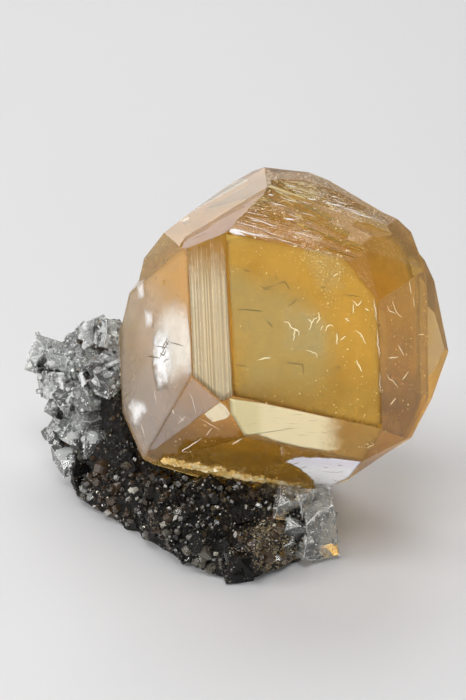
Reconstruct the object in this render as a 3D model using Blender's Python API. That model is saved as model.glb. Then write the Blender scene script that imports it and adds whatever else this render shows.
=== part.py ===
"""A golden calcite twin standing on its dark, crystal-lined matrix, with two groups of clear crystals.

The frame: +Z up, the flat underside of the matrix on Z = 0, the best side of the specimen towards -Y.
The golden crystal is drawn the way a crystal drawing is: each face has a tilt from the crystal's long
axis, a turn about that axis, and a distance from the crystal's middle.
"""
import math

import bmesh
import bpy
import numpy as np
from mathutils import Euler, Matrix, Vector, noise

MM = 0.001
GAP = 0.3 * MM                    # clearance between pieces that touch

# The golden crystal
GOLD_CENTRE = (7.6, 0.0, 31.0)    # mm
GOLD_AXIS = (-22.0, 1.0, 16.0)    # degrees: swing to the left, nod, roll about the long axis
BLANK = 120.0                     # mm, edge of the cube that the faces are cut from

# face: (tilt from the long axis, turn about it, distance from the middle), degrees, degrees, mm
FRONT_TWIN = {
    "broad right face": (46, 60, 14.4),
    "broad left face": (46, -58, 18.2),
    "broad lower face": (41, -179, 19.7),
    "striped strip": (28, -3, 18.2),
    "lower right strip": (26, 143, 19.3),
    "lower left strip": (23, -161, 20.4),
    "small corner": (22, -81, 20.4),
    "long upper bevel": (89, -12, 20.0),
    "short upper bevel": (82, -34, 20.9),
    "broken top": (88, 33, 17.7),
    "upper right bevel": (84, 63, 18.1),
    "right side": (81, 87, 18.3),
    "lower right corner": (55, 137, 23.9),
    "lower right rim": (68, 152, 24.0),
    "right rim": (135, 129, 18.7),
    "upper right rim": (140, 116, 19.9),
    "top rim right": (156, 33, 20.8),
    "top rim left": (139, -27, 20.5),
    "left rim upper": (101, -31, 21.8),
    "right rim lower": (102, 154, 21.4),
    "left side": (88, -89, 27.7),
    "left side upper": (96, -61, 25.2),
    "left side lower": (70, -117, 28.7),
    "underside left": (83, -139, 25.5),
    "underside": (91, -156, 24.1),
    "seam": (144, -147, 10.7),
}
REAR_TWIN = {
    "inner right": (46, 60, 10.4),
    "inner left": (46, -58, 16.8),
    "inner lower": (41, -179, 18.2),
    "inner strip": (28, -3, 14.2),
    "inner strip right": (26, 143, 15.3),
    "inner strip left": (23, -161, 18.4),
    "inner top": (88, 33, 17.1),
    "inner bevel": (84, 63, 16.6),
    "wedge": (72, 89, 13.2),
    "long upper bevel": (89, -12, 21.7),
    "short upper bevel": (97, -34, 23.2),
    "cap": (78, 2, 18.2),
    "cap edge": (100, 20, 21.8),
    "cap back": (118, -40, 24.6),
    "top back": (147, 24, 24.9),
    "wedge upper edge": (142, 98, 24.8),
    "wedge lower edge": (118, 150, 24.9),
    "right back": (112, 163, 23.2),
    "lower right rim": (68, 152, 22.4),
    "left side": (88, -89, 27.3),
    "left side upper": (96, -61, 24.8),
    "left side lower": (70, -117, 28.3),
    "underside": (91, -156, 23.6),
    "underside left": (83, -139, 25.1),
    "underside right": (92, 169, 24.6),
    "rear top": (135, 0, 26.0),
    "rear broad": (135, -120, 23.5),
    "rear strip right": (154, 60, 22.0),
    "rear strip low": (154, 180, 22.0),
    "rear strip left": (154, -60, 21.5),
}
BROKEN_LEDGES = 11                # shallow splinters out of the broken top
RIM_SCALES = 10                   # small scales along the crystal's lower front edge

# The dark matrix
ROCK_CENTRE = (-4.0, 2.0)         # mm
ROCK_OUTLINE = [(2, -22), (7, -19), (11, -15), (13, -8), (13, 2), (13, 14), (8, 22), (-6, 25), (-19, 23),
                (-26, 14), (-25, 5), (-21, -1), (-15, -7), (-11, -13), (-6, -17), (-1, -21)]
ROCK_TOP = 9.0                    # mm, height of the shelf that carries the golden crystal
HUMPS = [(-20, 13, 17.0, 5.5, 8.0), (-2, 18, 5.0, 9.0, 5.0), (4, -15, -1.5, 7.0, 5.0)]   # x, y, rise, spreads
GRAIN = 1.1                       # mm, height of the lumps on the rock
ROCK_LEVELS = 5
DRUSE_COUNT = 96
DRUSE_SIZE = (1.3, 2.9)           # mm
DARK_BLOCK = ((1.0, -21.0, 2.6), (4.4, 3.2, 4.6), (8, 6, 20))     # the flat-faced dark crystal in front

# The clear crystals: centre and edges in mm, turn in degrees
LEFT_BLOCKS = [
    ((-30.6, 23.5, 15.9), (5.0, 5.0, 4.0), (12, 24, 10)), ((-28.4, 21.0, 16.2), (4.5, 4.5, 4.2), (-20, 10, 40)),
    ((-29.8, 21.5, 13.4), (4.2, 4.6, 3.6), (30, -12, 15)), ((-26.4, 19.0, 17.9), (4.2, 5.0, 4.4), (20, 35, -12)),
    ((-27.6, 17.6, 13.6), (4.6, 5.0, 4.4), (-12, 18, 52)), ((-23.6, 15.4, 21.6), (4.8, 5.0, 4.6), (16, 42, 20)),
    ((-21.4, 12.4, 24.2), (4.4, 4.6, 4.4), (38, -20, 16)), ((-19.4, 10.6, 25.6), (4.2, 4.4, 4.6), (-18, 30, 34)),
    ((-20.6, 9.6, 22.2), (4.8, 4.6, 5.0), (10, -28, 12)), ((-22.4, 10.2, 20.4), (3.2, 3.6, 6.4), (14, -16, 22)),
    ((-19.8, 7.8, 19.2), (3.6, 3.8, 3.8), (24, 8, -30)), ((-27.4, 15.4, 11.2), (3.8, 3.6, 3.6), (33, 40, 12)),
    ((-25.4, 13.4, 12.4), (4.4, 5.0, 4.6), (5, -32, 28)), ((-22.6, 9.4, 15.2), (4.0, 4.2, 3.8), (-22, 15, 44)),
    ((-22.6, 7.6, 12.2), (3.6, 3.8, 3.2), (18, -8, 30)), ((-27.4, 13.8, 7.4), (4.0, 4.4, 3.6), (8, 22, 16)),
    ((-25.0, 10.6, 8.8), (4.4, 5.2, 4.2), (-14, 36, 8)), ((-21.9, 5.2, 9.8), (3.2, 3.6, 4.2), (6, 4, 14)),
    ((-26.2, 9.8, 4.8), (4.6, 4.4, 3.2), (20, -14, 36)), ((-23.8, 4.6, 4.1), (4.8, 4.6, 4.6), (14, 20, 24)),
    ((-21.6, 3.2, 4.6), (2.0, 2.6, 5.2), (4, -18, 16)),
]
RIGHT_BLOCKS = [
    ((8.6, -12.6, 8.2), (4.2, 4.0, 3.6), (10, 16, 12)), ((11.0, -12.4, 8.0), (3.8, 4.0, 3.8), (-16, 8, 34)),
    ((13.2, -13.2, 5.0), (4.6, 5.8, 8.4), (5, -8, 14)), ((10.0, -14.2, 4.6), (4.4, 4.0, 5.2), (18, 14, 4)),
    ((11.2, -15.2, 2.6), (3.6, 3.6, 4.0), (-8, 24, 40)), ((8.0, -15.4, 3.2), (2.8, 3.0, 3.0), (30, -18, 14)),
]
LEAN = math.radians(9)            # lean of the clear blocks, which are slightly skewed boxes

GOLD = ((0.78, 0.46, 0.11, 1.0), 0.12)
DARK = ((0.035, 0.028, 0.024, 1.0), 0.45)
CLEAR = ((0.74, 0.76, 0.74, 1.0), 0.12)


def clear_scene():
    """Remove the objects and collections of the open scene."""
    for obj in list(bpy.data.objects):
        bpy.data.objects.remove(obj, do_unlink=True)
    for coll in list(bpy.data.collections):
        bpy.data.collections.remove(coll)


def collection(name):
    """A new collection under the scene's own."""
    coll = bpy.data.collections.new(name)
    bpy.context.scene.collection.children.link(coll)
    return coll


def material(name, look):
    """A Principled material with a colour and a roughness."""
    mat = bpy.data.materials.new(name)
    mat.use_nodes = True
    shader = mat.node_tree.nodes["Principled BSDF"]
    shader.inputs["Base Color"].default_value = look[0]
    shader.inputs["Roughness"].default_value = look[1]
    mat.diffuse_color = look[0]
    return mat


def add_object(name, bm, coll, look=None, cutter=False):
    """Make an object from a bmesh, free the bmesh, and put it in a collection."""
    mesh = bpy.data.meshes.new(name)
    bmesh.ops.recalc_face_normals(bm, faces=bm.faces[:])
    bm.to_mesh(mesh)
    bm.free()
    obj = bpy.data.objects.new(name, mesh)
    coll.objects.link(obj)
    if look:
        mesh.materials.append(material(name, look))
    if cutter:
        obj.hide_render = True
        obj.display_type = "WIRE"
    return obj


def gold_frame():
    """Matrix from the crystal's own axes (long axis -Y, up +Z) to the specimen."""
    swing, nod, roll = (math.radians(a) for a in GOLD_AXIS)
    turn = (Matrix.Rotation(swing, 4, "Z") @ Matrix.Rotation(nod, 4, "X")
            @ Matrix.Rotation(roll, 4, Vector((0, -1, 0))))
    return Matrix.Translation(Vector(GOLD_CENTRE) * MM) @ turn


def face_normal(tilt, turn):
    """Outward direction of a crystal face in the crystal's own axes."""
    t, a = math.radians(tilt), math.radians(turn)
    return Vector((math.sin(t) * math.sin(a), -math.cos(t), math.sin(t) * math.cos(a)))


def cut_off(bm, point, normal):
    """Cut a convex bmesh with a plane, drop what is outside and close the cut."""
    cut = bmesh.ops.bisect_plane(bm, geom=bm.verts[:] + bm.edges[:] + bm.faces[:], dist=1e-8,
                                 plane_co=point, plane_no=normal, clear_outer=True)
    edges = [e for e in cut["geom_cut"] if isinstance(e, bmesh.types.BMEdge)]
    if edges:
        bmesh.ops.contextual_create(bm, geom=edges)


def faceted(faces, grow=0.0):
    """A convex crystal cut from a cube by its list of faces."""
    bm = bmesh.new()
    bmesh.ops.create_cube(bm, size=BLANK * MM)
    for tilt, turn, distance in faces.values():
        n = face_normal(tilt, turn)
        cut_off(bm, n * (distance * MM + grow), n)
    bmesh.ops.transform(bm, matrix=gold_frame(), verts=bm.verts[:])
    return bm


def block(centre, edges, turn, grow=0.0, trims=2):
    """A skewed box with some of its corners cut away."""
    bm = bmesh.new()
    bmesh.ops.create_cube(bm, size=1.0)
    size = Matrix.Diagonal(Vector([e * MM + 2 * grow for e in edges] + [1.0]))
    skew = Matrix(((1, math.tan(LEAN), 0, 0), (0, 1, math.tan(LEAN) / 2, 0), (0, 0, 1, 0), (0, 0, 0, 1)))
    bmesh.ops.transform(bm, matrix=skew @ size, verts=bm.verts[:])
    half = Vector(edges) * MM / 2
    for k in range(trims):
        corner = Vector(((-1) ** k, -1, (-1) ** (k // 2)))
        n = Vector((corner.x * 0.8, corner.y, corner.z * (0.6 + 0.5 * k))).normalized()
        reach = n.x * corner.x * half.x + n.y * corner.y * half.y + n.z * corner.z * half.z
        cut_off(bm, n * (0.80 * reach + grow), n)
    place = Matrix.Translation(Vector(centre) * MM) @ Euler([math.radians(a) for a in turn]).to_matrix().to_4x4()
    bmesh.ops.transform(bm, matrix=place, verts=bm.verts[:])
    return bm


def gather(shapes):
    """Put several bmeshes into one, freeing them."""
    whole = bmesh.new()
    for shape in shapes:
        bmesh.ops.recalc_face_normals(shape, faces=shape.faces[:])
        mesh = bpy.data.meshes.new("shape")
        shape.to_mesh(mesh)
        shape.free()
        whole.from_mesh(mesh)
        bpy.data.meshes.remove(mesh)
    return whole


def join(obj, others, operation="UNION"):
    """Boolean one object with others and bake the result into its mesh."""
    for other in others:
        mod = obj.modifiers.new(operation.lower(), "BOOLEAN")
        mod.operation = operation
        mod.solver = "EXACT"
        mod.use_self = True
        mod.object = other
        deps = bpy.context.evaluated_depsgraph_get()
        mesh = bpy.data.meshes.new_from_object(obj.evaluated_get(deps), depsgraph=deps)
        obj.modifiers.clear()
        old = obj.data
        mesh.name = obj.name
        obj.data = mesh
        bpy.data.meshes.remove(old)


def tidy(obj, weld=0.004 * MM):
    """Weld stray points, dissolve slivers and keep the largest closed body."""
    bm = bmesh.new()
    bm.from_mesh(obj.data)
    bmesh.ops.remove_doubles(bm, verts=bm.verts[:], dist=weld)
    bmesh.ops.dissolve_degenerate(bm, edges=bm.edges[:], dist=weld)
    bmesh.ops.triangulate(bm, faces=bm.faces[:])
    bodies, seen = [], set()
    for face in bm.faces:
        if face in seen:
            continue
        body, stack = [], [face]
        seen.add(face)
        while stack:
            f = stack.pop()
            body.append(f)
            for near in (g for e in f.edges for g in e.link_faces if g not in seen):
                seen.add(near)
                stack.append(near)
        bodies.append(body)
    keep = max(bodies, key=lambda b: sum(f.calc_area() for f in b))
    drop = [f for body in bodies if body is not keep for f in body]
    if drop:
        bmesh.ops.delete(bm, geom=drop, context="FACES")
        bmesh.ops.delete(bm, geom=[v for v in bm.verts if not v.link_faces], context="VERTS")
    bm.to_mesh(obj.data)
    bm.free()


def flatten_bottom(obj):
    """Cut the object off at Z = 0 and close it with one flat face."""
    bm = bmesh.new()
    bm.from_mesh(obj.data)
    cut_off(bm, Vector((0, 0, 0)), Vector((0, 0, -1)))
    bm.to_mesh(obj.data)
    bm.free()


def inside(faces, point, margin):
    """Whether a point lies within a faceted crystal grown by a margin, both in metres."""
    p = gold_frame().inverted() @ point
    return all(face_normal(t, a).dot(p) < d * MM + margin for t, a, d in faces.values())


# The golden crystal
def rim_scales(grow=0.0):
    """Small golden blocks that line the crystal's lower front edge, where it meets the rock."""
    rng = np.random.default_rng(11)
    shapes = []
    for k in range(RIM_SCALES):
        f = k / (RIM_SCALES - 1)
        centre = (-6.0 + 18.5 * f, -7.6 + 1.2 * math.sin(5 * f), 8.6 - 1.4 * f + rng.uniform(-0.3, 0.3))
        edges = (2.6, 2.2 + rng.uniform(-0.3, 0.4), 1.7)
        shapes.append(block(centre, edges, rng.uniform(-30, 30, 3), grow=grow, trims=1))
    return shapes


def broken_ledges():
    """Thin slabs, nearly parallel to the broken top, that leave shallow steps when cut away."""
    rng = np.random.default_rng(5)
    tilt, turn, distance = FRONT_TWIN["broken top"]
    out = face_normal(tilt, turn)
    along = Vector((0, -1, 0)).cross(out).normalized()
    deep = out.cross(along).normalized()
    shapes = []
    for k in range(BROKEN_LEDGES):
        bm = bmesh.new()
        bmesh.ops.create_cube(bm, size=1.0)
        size = Vector((rng.uniform(6, 13), rng.uniform(2.0, 4.5), 3.0, 0)) * MM
        size.w = 1.0
        spin = Matrix.Rotation(math.radians(rng.uniform(-16, 16)), 4, "Z")
        lean = Matrix.Rotation(math.radians(rng.uniform(6, 13)), 4, "X")
        axes = Matrix((along, deep, out)).transposed().to_4x4()
        middle = (out * (distance + 0.9) + along * (-9 + 20 * ((k * 0.618) % 1.0))
                  + deep * (-10.0 + 12 * ((k * 0.377) % 1.0))) * MM
        place = gold_frame() @ Matrix.Translation(middle) @ axes @ spin @ lean
        bmesh.ops.transform(bm, matrix=place @ Matrix.Diagonal(size), verts=bm.verts[:])
        shapes.append(bm)
    return shapes


def build_gold(parts, cutters):
    """The golden crystal: two twin halves grown through each other, chipped along the top."""
    gold = add_object("golden_calcite", faceted(FRONT_TWIN), parts, GOLD)
    rear = add_object("rear_twin_cutter", faceted(REAR_TWIN), cutters, cutter=True)
    scales = add_object("rim_scale_cutter", gather(rim_scales()), cutters, cutter=True)
    ledges = add_object("ledge_cutter", gather(broken_ledges()), cutters, cutter=True)
    join(gold, [rear, scales])
    join(gold, [ledges], "DIFFERENCE")
    tidy(gold)
    return gold


def gold_socket(cutters):
    """The golden crystal grown by the clearance, to cut its neighbours with."""
    socket = add_object("gold_socket_cutter", faceted(FRONT_TWIN, GAP), cutters, cutter=True)
    rear = add_object("rear_socket_cutter", faceted(REAR_TWIN, GAP), cutters, cutter=True)
    scales = add_object("scale_socket_cutter", gather(rim_scales(GAP)), cutters, cutter=True)
    join(socket, [rear, scales])
    return socket


# The dark matrix
def outline_reach(angle):
    """Distance in mm from the rock's centre to its outline, in one direction."""
    spots = sorted((math.atan2(y - ROCK_CENTRE[1], x - ROCK_CENTRE[0]),
                    math.hypot(x - ROCK_CENTRE[0], y - ROCK_CENTRE[1])) for x, y in ROCK_OUTLINE)
    angles = [a for a, _ in spots]
    reach = [r for _, r in spots]
    return float(np.interp(angle, angles, reach, period=2 * math.pi))


def shelf_height(x, y):
    """Height in mm of the rock's upper side over a spot of its plan."""
    rise = sum(h * math.exp(-((x - cx) / sx) ** 2 - ((y - cy) / sy) ** 2) for cx, cy, h, sx, sy in HUMPS)
    return ROCK_TOP + rise


def rock_body():
    """A rugged mound over the outline, lumpy all over, flat below."""
    bm = bmesh.new()
    bmesh.ops.create_icosphere(bm, subdivisions=ROCK_LEVELS, radius=1.0)
    for v in bm.verts:
        flat = min(math.hypot(v.co.x, v.co.y), 1.0)
        angle = math.atan2(v.co.y, v.co.x)
        reach = outline_reach(angle) * flat ** 0.85
        x = ROCK_CENTRE[0] + reach * math.cos(angle)
        y = ROCK_CENTRE[1] + reach * math.sin(angle)
        if v.co.z >= 0:
            z = shelf_height(x, y) * (1 - flat ** 2.6) ** 0.5 + 1.2 * flat
        else:
            z = 1.2 * flat + 5.0 * v.co.z
        spot = Vector((x, y, z))
        out = Vector((v.co.x, v.co.y, max(v.co.z, 0.0) + 0.05)).normalized()
        cells = noise.voronoi(spot * 0.30)[0]
        fine = noise.voronoi(spot * 0.62 + Vector((7, 3, 1)))[0]
        lump = 1.5 * (0.45 - cells[0]) + 0.6 * (0.45 - fine[0]) + 1.3 * noise.noise(spot * 0.13)
        v.co = (spot + out * (lump * GRAIN)) * MM
    return bm


def druse(rock):
    """Small dark crystals that stand on the rock, away from the other pieces."""
    rng = np.random.default_rng(42)
    verts = [v.co.copy() for v in rock.data.vertices]
    normals = [Vector(v.normal) for v in rock.data.vertices]
    groups = [Vector(b[0]) * MM for b in LEFT_BLOCKS + RIGHT_BLOCKS]
    shapes, spots = [], []
    for k in rng.permutation(len(verts)):
        p, n = verts[k], normals[k]
        size = rng.uniform(*DRUSE_SIZE)
        if p.z < 1.2 * MM or n.z < -0.1 or len(shapes) >= DRUSE_COUNT:
            continue
        if min((p - g).length for g in groups) < (3.4 + size) * MM or any((p - s).length < 1.9 * MM for s in spots):
            continue
        if inside(FRONT_TWIN, p, size * MM) or inside(REAR_TWIN, p, size * MM):
            continue
        spots.append(p)
        edges = size * rng.uniform(0.75, 1.15, 3)
        shapes.append(block(p / MM, edges, rng.uniform(-60, 60, 3), trims=int(rng.integers(0, 3))))
    shapes.append(block(*DARK_BLOCK, trims=0))
    return shapes


def build_rock(parts, cutters, socket):
    """The dark matrix: mound, druse, and the seats of the pieces that stand in it."""
    rock = add_object("dark_matrix", rock_body(), parts, DARK)
    small = add_object("druse_cutter", gather(druse(rock)), cutters, cutter=True)
    join(rock, [small])
    flatten_bottom(rock)
    seats = [block(*b, grow=GAP) for b in LEFT_BLOCKS + RIGHT_BLOCKS]
    seat = add_object("clear_seat_cutter", gather(seats), cutters, cutter=True)
    join(rock, [socket, seat], "DIFFERENCE")
    tidy(rock)
    return rock


# The clear crystals
def build_group(name, blocks, parts, cutters, socket):
    """A group of clear blocks grown together in one body, cut back from the golden crystal."""
    group = add_object(name, block(*blocks[0]), parts, CLEAR)
    rest = add_object(name + "_cutter", gather([block(*b) for b in blocks[1:]]), cutters, cutter=True)
    join(group, [rest])
    join(group, [socket], "DIFFERENCE")
    flatten_bottom(group)
    tidy(group)
    return group


def main():
    """Build the specimen."""
    clear_scene()
    parts = collection("calcite_specimen")
    cutters = collection("cutters")
    build_gold(parts, cutters)
    socket = gold_socket(cutters)
    build_rock(parts, cutters, socket)
    build_group("clear_crystals_left", LEFT_BLOCKS, parts, cutters, socket)
    build_group("clear_crystals_right", RIGHT_BLOCKS, parts, cutters, socket)


main()
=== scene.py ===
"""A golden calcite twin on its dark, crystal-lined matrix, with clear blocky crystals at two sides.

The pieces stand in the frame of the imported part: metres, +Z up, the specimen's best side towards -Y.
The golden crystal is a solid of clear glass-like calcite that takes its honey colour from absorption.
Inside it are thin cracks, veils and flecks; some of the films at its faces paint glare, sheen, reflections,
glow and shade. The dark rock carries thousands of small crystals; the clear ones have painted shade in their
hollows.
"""

import logging
import math
from dataclasses import dataclass, field, replace
from enum import Enum

import bmesh
import bpy
import numpy as np
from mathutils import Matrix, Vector

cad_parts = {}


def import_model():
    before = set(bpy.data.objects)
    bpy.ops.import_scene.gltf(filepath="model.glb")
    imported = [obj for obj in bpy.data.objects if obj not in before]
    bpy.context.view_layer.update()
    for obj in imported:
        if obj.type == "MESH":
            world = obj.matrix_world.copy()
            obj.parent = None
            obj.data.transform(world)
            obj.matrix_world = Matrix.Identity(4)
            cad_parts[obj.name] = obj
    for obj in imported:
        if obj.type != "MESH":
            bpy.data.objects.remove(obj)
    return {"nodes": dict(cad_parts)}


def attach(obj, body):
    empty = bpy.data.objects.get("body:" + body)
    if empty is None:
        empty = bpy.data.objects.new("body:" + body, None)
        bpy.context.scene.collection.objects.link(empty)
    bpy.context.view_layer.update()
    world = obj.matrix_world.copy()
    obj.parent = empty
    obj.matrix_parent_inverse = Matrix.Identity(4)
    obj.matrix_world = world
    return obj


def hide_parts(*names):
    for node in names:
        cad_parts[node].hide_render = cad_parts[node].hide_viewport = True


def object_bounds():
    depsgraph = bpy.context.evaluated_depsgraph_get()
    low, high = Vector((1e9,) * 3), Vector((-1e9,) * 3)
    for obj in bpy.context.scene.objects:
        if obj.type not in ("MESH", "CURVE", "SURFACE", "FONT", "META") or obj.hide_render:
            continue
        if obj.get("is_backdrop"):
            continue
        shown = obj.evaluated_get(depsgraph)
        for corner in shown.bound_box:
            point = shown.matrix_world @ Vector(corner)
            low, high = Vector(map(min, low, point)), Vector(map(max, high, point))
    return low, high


MM = 0.001
LOG = logging.getLogger("calcite")

Colour = tuple[float, float, float]
Spot = tuple[float, float, float]
Span = tuple[float, float]
Array = np.ndarray
Shape = tuple[Array, Array]
Piece = bpy.types.Object
Material = bpy.types.Material
Socket = bpy.types.NodeSocket


class Blend(Enum):
    """Ways in which a surface is set up to be seen through."""

    SOLID = "DITHERED"
    CLEAR = "BLENDED"


# Node trees


@dataclass(frozen=True)
class Grain:
    """Cloudy noise: turns per millimetre, levels of detail, strength of the fine levels, and warp."""

    scale: float
    detail: float = 2.0
    rough: float = 0.5
    warp: float = 0.0


@dataclass(frozen=True)
class Patches:
    """Noise brought to a smooth step: one end value below its two levels, the other above them."""

    grain: Grain
    levels: Span
    ends: Span = (0.0, 1.0)


class Graph:
    """The node tree of one material, built socket by socket."""

    def __init__(self, name: str, blend: Blend = Blend.SOLID) -> None:
        """Start an empty tree with an output.

        Args:
            name: the material's name.
            blend: how its surface is seen through.
        """
        self.material = bpy.data.materials.new(name)
        self.material.use_nodes = True
        self.material.surface_render_method = blend.value
        self.tree = self.material.node_tree
        self.tree.nodes.clear()
        self.output = self.tree.nodes.new("ShaderNodeOutputMaterial")

    def node(self, kind: str, inputs: dict[object, object], **settings: object) -> bpy.types.Node:
        """Add a node, set its plain properties and fill its inputs.

        Args:
            kind: the node's type without the leading ShaderNode.
            inputs: what is fed to each input, by name or number; None leaves one as it is.
            settings: property names and values.

        Returns:
            The new node.
        """
        node = self.tree.nodes.new("ShaderNode" + kind)
        for key, value in settings.items():
            setattr(node, key, value)
        for key, source in inputs.items():
            if source is not None:
                self.feed(node.inputs[key], source)
        return node

    def feed(self, socket: Socket, source: object) -> None:
        """Link a socket to another, or set it to a plain value.

        Args:
            socket: the input to fill.
            source: a socket, a number, a colour or a vector.
        """
        if isinstance(source, Socket):
            self.tree.links.new(source, socket)
        elif isinstance(source, (tuple, list, Array)) and len(socket.default_value) == 4:
            socket.default_value = (*[float(v) for v in source[:3]], 1.0)
        elif isinstance(source, (tuple, list, Array)):
            socket.default_value = [float(v) for v in source]
        else:
            socket.default_value = source

    def place(self) -> Socket:
        """Object coordinates in millimetres."""
        spot = self.node("TexCoord", {}).outputs["Object"]
        return self.node("VectorMath", {0: spot, "Scale": 1.0 / MM}, operation="SCALE").outputs[0]

    def plus(self, a: object, b: object) -> Socket:
        """The sum of two numbers."""
        return self.node("Math", {0: a, 1: b}, operation="ADD").outputs[0]

    def times(self, a: object, b: object) -> Socket:
        """The product of two numbers."""
        return self.node("Math", {0: a, 1: b}, operation="MULTIPLY").outputs[0]

    def dot(self, vector: object, direction: object) -> Socket:
        """How far a vector reaches along a fixed direction."""
        return self.node("VectorMath", {0: vector, 1: direction}, operation="DOT_PRODUCT").outputs["Value"]

    def apart(self, vector: object, spot: Spot) -> Socket:
        """How far a point lies from a fixed spot."""
        return self.node("VectorMath", {0: vector, 1: spot}, operation="DISTANCE").outputs["Value"]

    def stretch(self, vector: object, sizes: Spot) -> Socket:
        """A vector multiplied by three numbers."""
        return self.node("VectorMath", {0: vector, 1: sizes}, operation="MULTIPLY").outputs[0]

    def between(self, value: object, low: float, high: float, first: float = 0.0,
                last: float = 1.0) -> Socket:
        """A smooth step from first, where the value is below low, to last, where it is above high."""
        inputs = {"Value": value, "From Min": low, "From Max": high, "To Min": first, "To Max": last}
        return self.node("MapRange", inputs, interpolation_type="SMOOTHSTEP").outputs["Result"]

    def fall(self, value: object, low: float, high: float) -> Socket:
        """A smooth step from 1 below low to 0 above high."""
        return self.between(value, low, high, 1.0, 0.0)

    def noise(self, vector: object, grain: Grain) -> Socket:
        """Cloudy noise at a place in mm, 0 to 1."""
        inputs = {"Vector": vector, "Scale": grain.scale, "Detail": grain.detail, "Roughness": grain.rough,
                  "Distortion": grain.warp}
        return self.node("TexNoise", inputs, noise_dimensions="3D").outputs[0]

    def lined(self, vector: object, direction: object, grain: Grain) -> Socket:
        """Noise that changes along one direction only, so that it makes parallel lines."""
        return self.noise(self.node("CombineXYZ", {0: self.dot(vector, direction)}).outputs[0], grain)

    def patches(self, vector: object, kind: Patches) -> Socket:
        """Noise brought to a smooth step."""
        return self.between(self.noise(vector, kind.grain), *kind.levels, *kind.ends)

    def cells(self, vector: object, scale: float) -> Socket:
        """The distance to the nearest of scattered cell middles, of which there are scale a millimetre."""
        return self.node("TexVoronoi", {"Vector": vector, "Scale": scale}).outputs["Distance"]

    def mix(self, share: object, a: object, b: object) -> Socket:
        """Colour a going over to colour b as the share of b goes from 0 to 1."""
        return self.node("Mix", {0: share, 6: a, 7: b}, data_type="RGBA").outputs[2]

    def attribute(self, name: str) -> Socket:
        """A number that the mesh carries."""
        return self.node("Attribute", {}, attribute_name=name).outputs["Fac"]

    def bump(self, height: object, depth: float, strength: object = 1.0, normal: object = None) -> Socket:
        """A normal, or the surface's own, bent by a height of 0 to 1 that stands for so many mm of depth."""
        inputs = {"Height": height, "Distance": depth * MM, "Strength": strength, "Normal": normal}
        return self.node("Bump", inputs).outputs[0]

    def shader(self, **inputs: object) -> Socket:
        """A Principled shader whose inputs are fed by name, with underscores for spaces."""
        named = {key.replace("_", " "): source for key, source in inputs.items()}
        return self.node("BsdfPrincipled", named).outputs[0]

    def finish(self, surface: Socket) -> Material:
        """The material, with its surface linked."""
        self.feed(self.output.inputs["Surface"], surface)
        return self.material

    def fill(self, colour: Colour, density: float) -> None:
        """Fill the body with plain absorption that lets a colour through, so dense per metre."""
        node = self.node("VolumeAbsorption", {"Color": colour, "Density": density})
        self.feed(self.output.inputs["Volume"], node.outputs[0])


# Meshes

WELD = 0.002 * MM
FLAT = math.radians(0.4)
LEAST_BEVEL_ANGLE = math.radians(9.0)
BEVEL_ROOM = 2.5


def mesh_object(name: str, points: Array, faces: Array, material: Material,
                numbers: dict[str, Array] | None = None, smooth: bool = False) -> Piece:
    """Make an object from arrays.

    Args:
        name: the piece's name.
        points: corner positions, in metres.
        faces: triangles or quads as rows of corner numbers.
        material: its finish.
        numbers: values carried by the corners, by name.
        smooth: whether the surface is shaded smooth.

    Returns:
        The new object, at the origin.
    """
    mesh = bpy.data.meshes.new(name)
    mesh.vertices.add(len(points))
    mesh.vertices.foreach_set("co", np.ascontiguousarray(points, np.float32).ravel())
    width = faces.shape[1]
    mesh.loops.add(faces.size)
    mesh.loops.foreach_set("vertex_index", np.ascontiguousarray(faces, np.int32).ravel())
    mesh.polygons.add(len(faces))
    mesh.polygons.foreach_set("loop_start", np.arange(0, faces.size, width, dtype=np.int32))
    for key, values in (numbers or {}).items():
        mesh.attributes.new(key, "FLOAT", "POINT").data.foreach_set("value", np.asarray(values, np.float32))
    mesh.update(calc_edges=True)
    mesh.validate()
    if not smooth:
        mesh.shade_flat()
    mesh.materials.append(material)
    obj = bpy.data.objects.new(name, mesh)
    bpy.context.scene.collection.objects.link(obj)
    return obj


def merged_copy(node: Piece, name: str) -> Piece:
    """A welded copy of a part of the frame, with its flat faces made whole.

    Args:
        node: the part's object, which stays as it is.
        name: the copy's name.

    Returns:
        The copy.
    """
    bm = bmesh.new()
    bm.from_mesh(node.data)
    bmesh.ops.remove_doubles(bm, verts=bm.verts[:], dist=WELD)
    bmesh.ops.dissolve_limit(bm, angle_limit=FLAT, verts=bm.verts[:], edges=bm.edges[:])
    mesh = bpy.data.meshes.new(name)
    bm.to_mesh(mesh)
    bm.free()
    obj = bpy.data.objects.new(name, mesh)
    bpy.context.scene.collection.objects.link(obj)
    return obj


def soften_edges(obj: Piece, width: float, least_edge: float, rim: int = -1) -> None:
    """Give the longer edges of a faceted mesh a narrow bevel.

    Args:
        obj: the object.
        width: the bevel's width, mm.
        least_edge: edges shorter than this stay sharp, mm.
        rim: the number of the material of the narrow new faces, or -1 for that of their neighbours.
    """
    bm = bmesh.new()
    bm.from_mesh(obj.data)
    room = BEVEL_ROOM * width * MM if rim >= 0 else 0.0
    edges = [e for e in bm.edges if len(e.link_faces) == 2 and e.calc_length() > least_edge * MM
             and e.calc_face_angle(0.0) > LEAST_BEVEL_ANGLE and (rim < 0 or e.is_convex)
             and all(near.calc_length() > room for corner in e.verts for near in corner.link_edges)]
    bmesh.ops.bevel(bm, geom=edges, offset=width * MM, segments=1, affect="EDGES", clamp_overlap=rim < 0,
                    material=rim)
    bmesh.ops.triangulate(bm, faces=[f for f in bm.faces if len(f.verts) > 4])
    bm.to_mesh(obj.data)
    bm.free()
    obj.data.shade_flat()


def triangles(quads: Array) -> Array:
    """Each row of four corner numbers as two rows of three."""
    return np.vstack([quads[:, [0, 1, 2]], quads[:, [0, 2, 3]]]) if quads.shape[1] == 4 else quads


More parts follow.
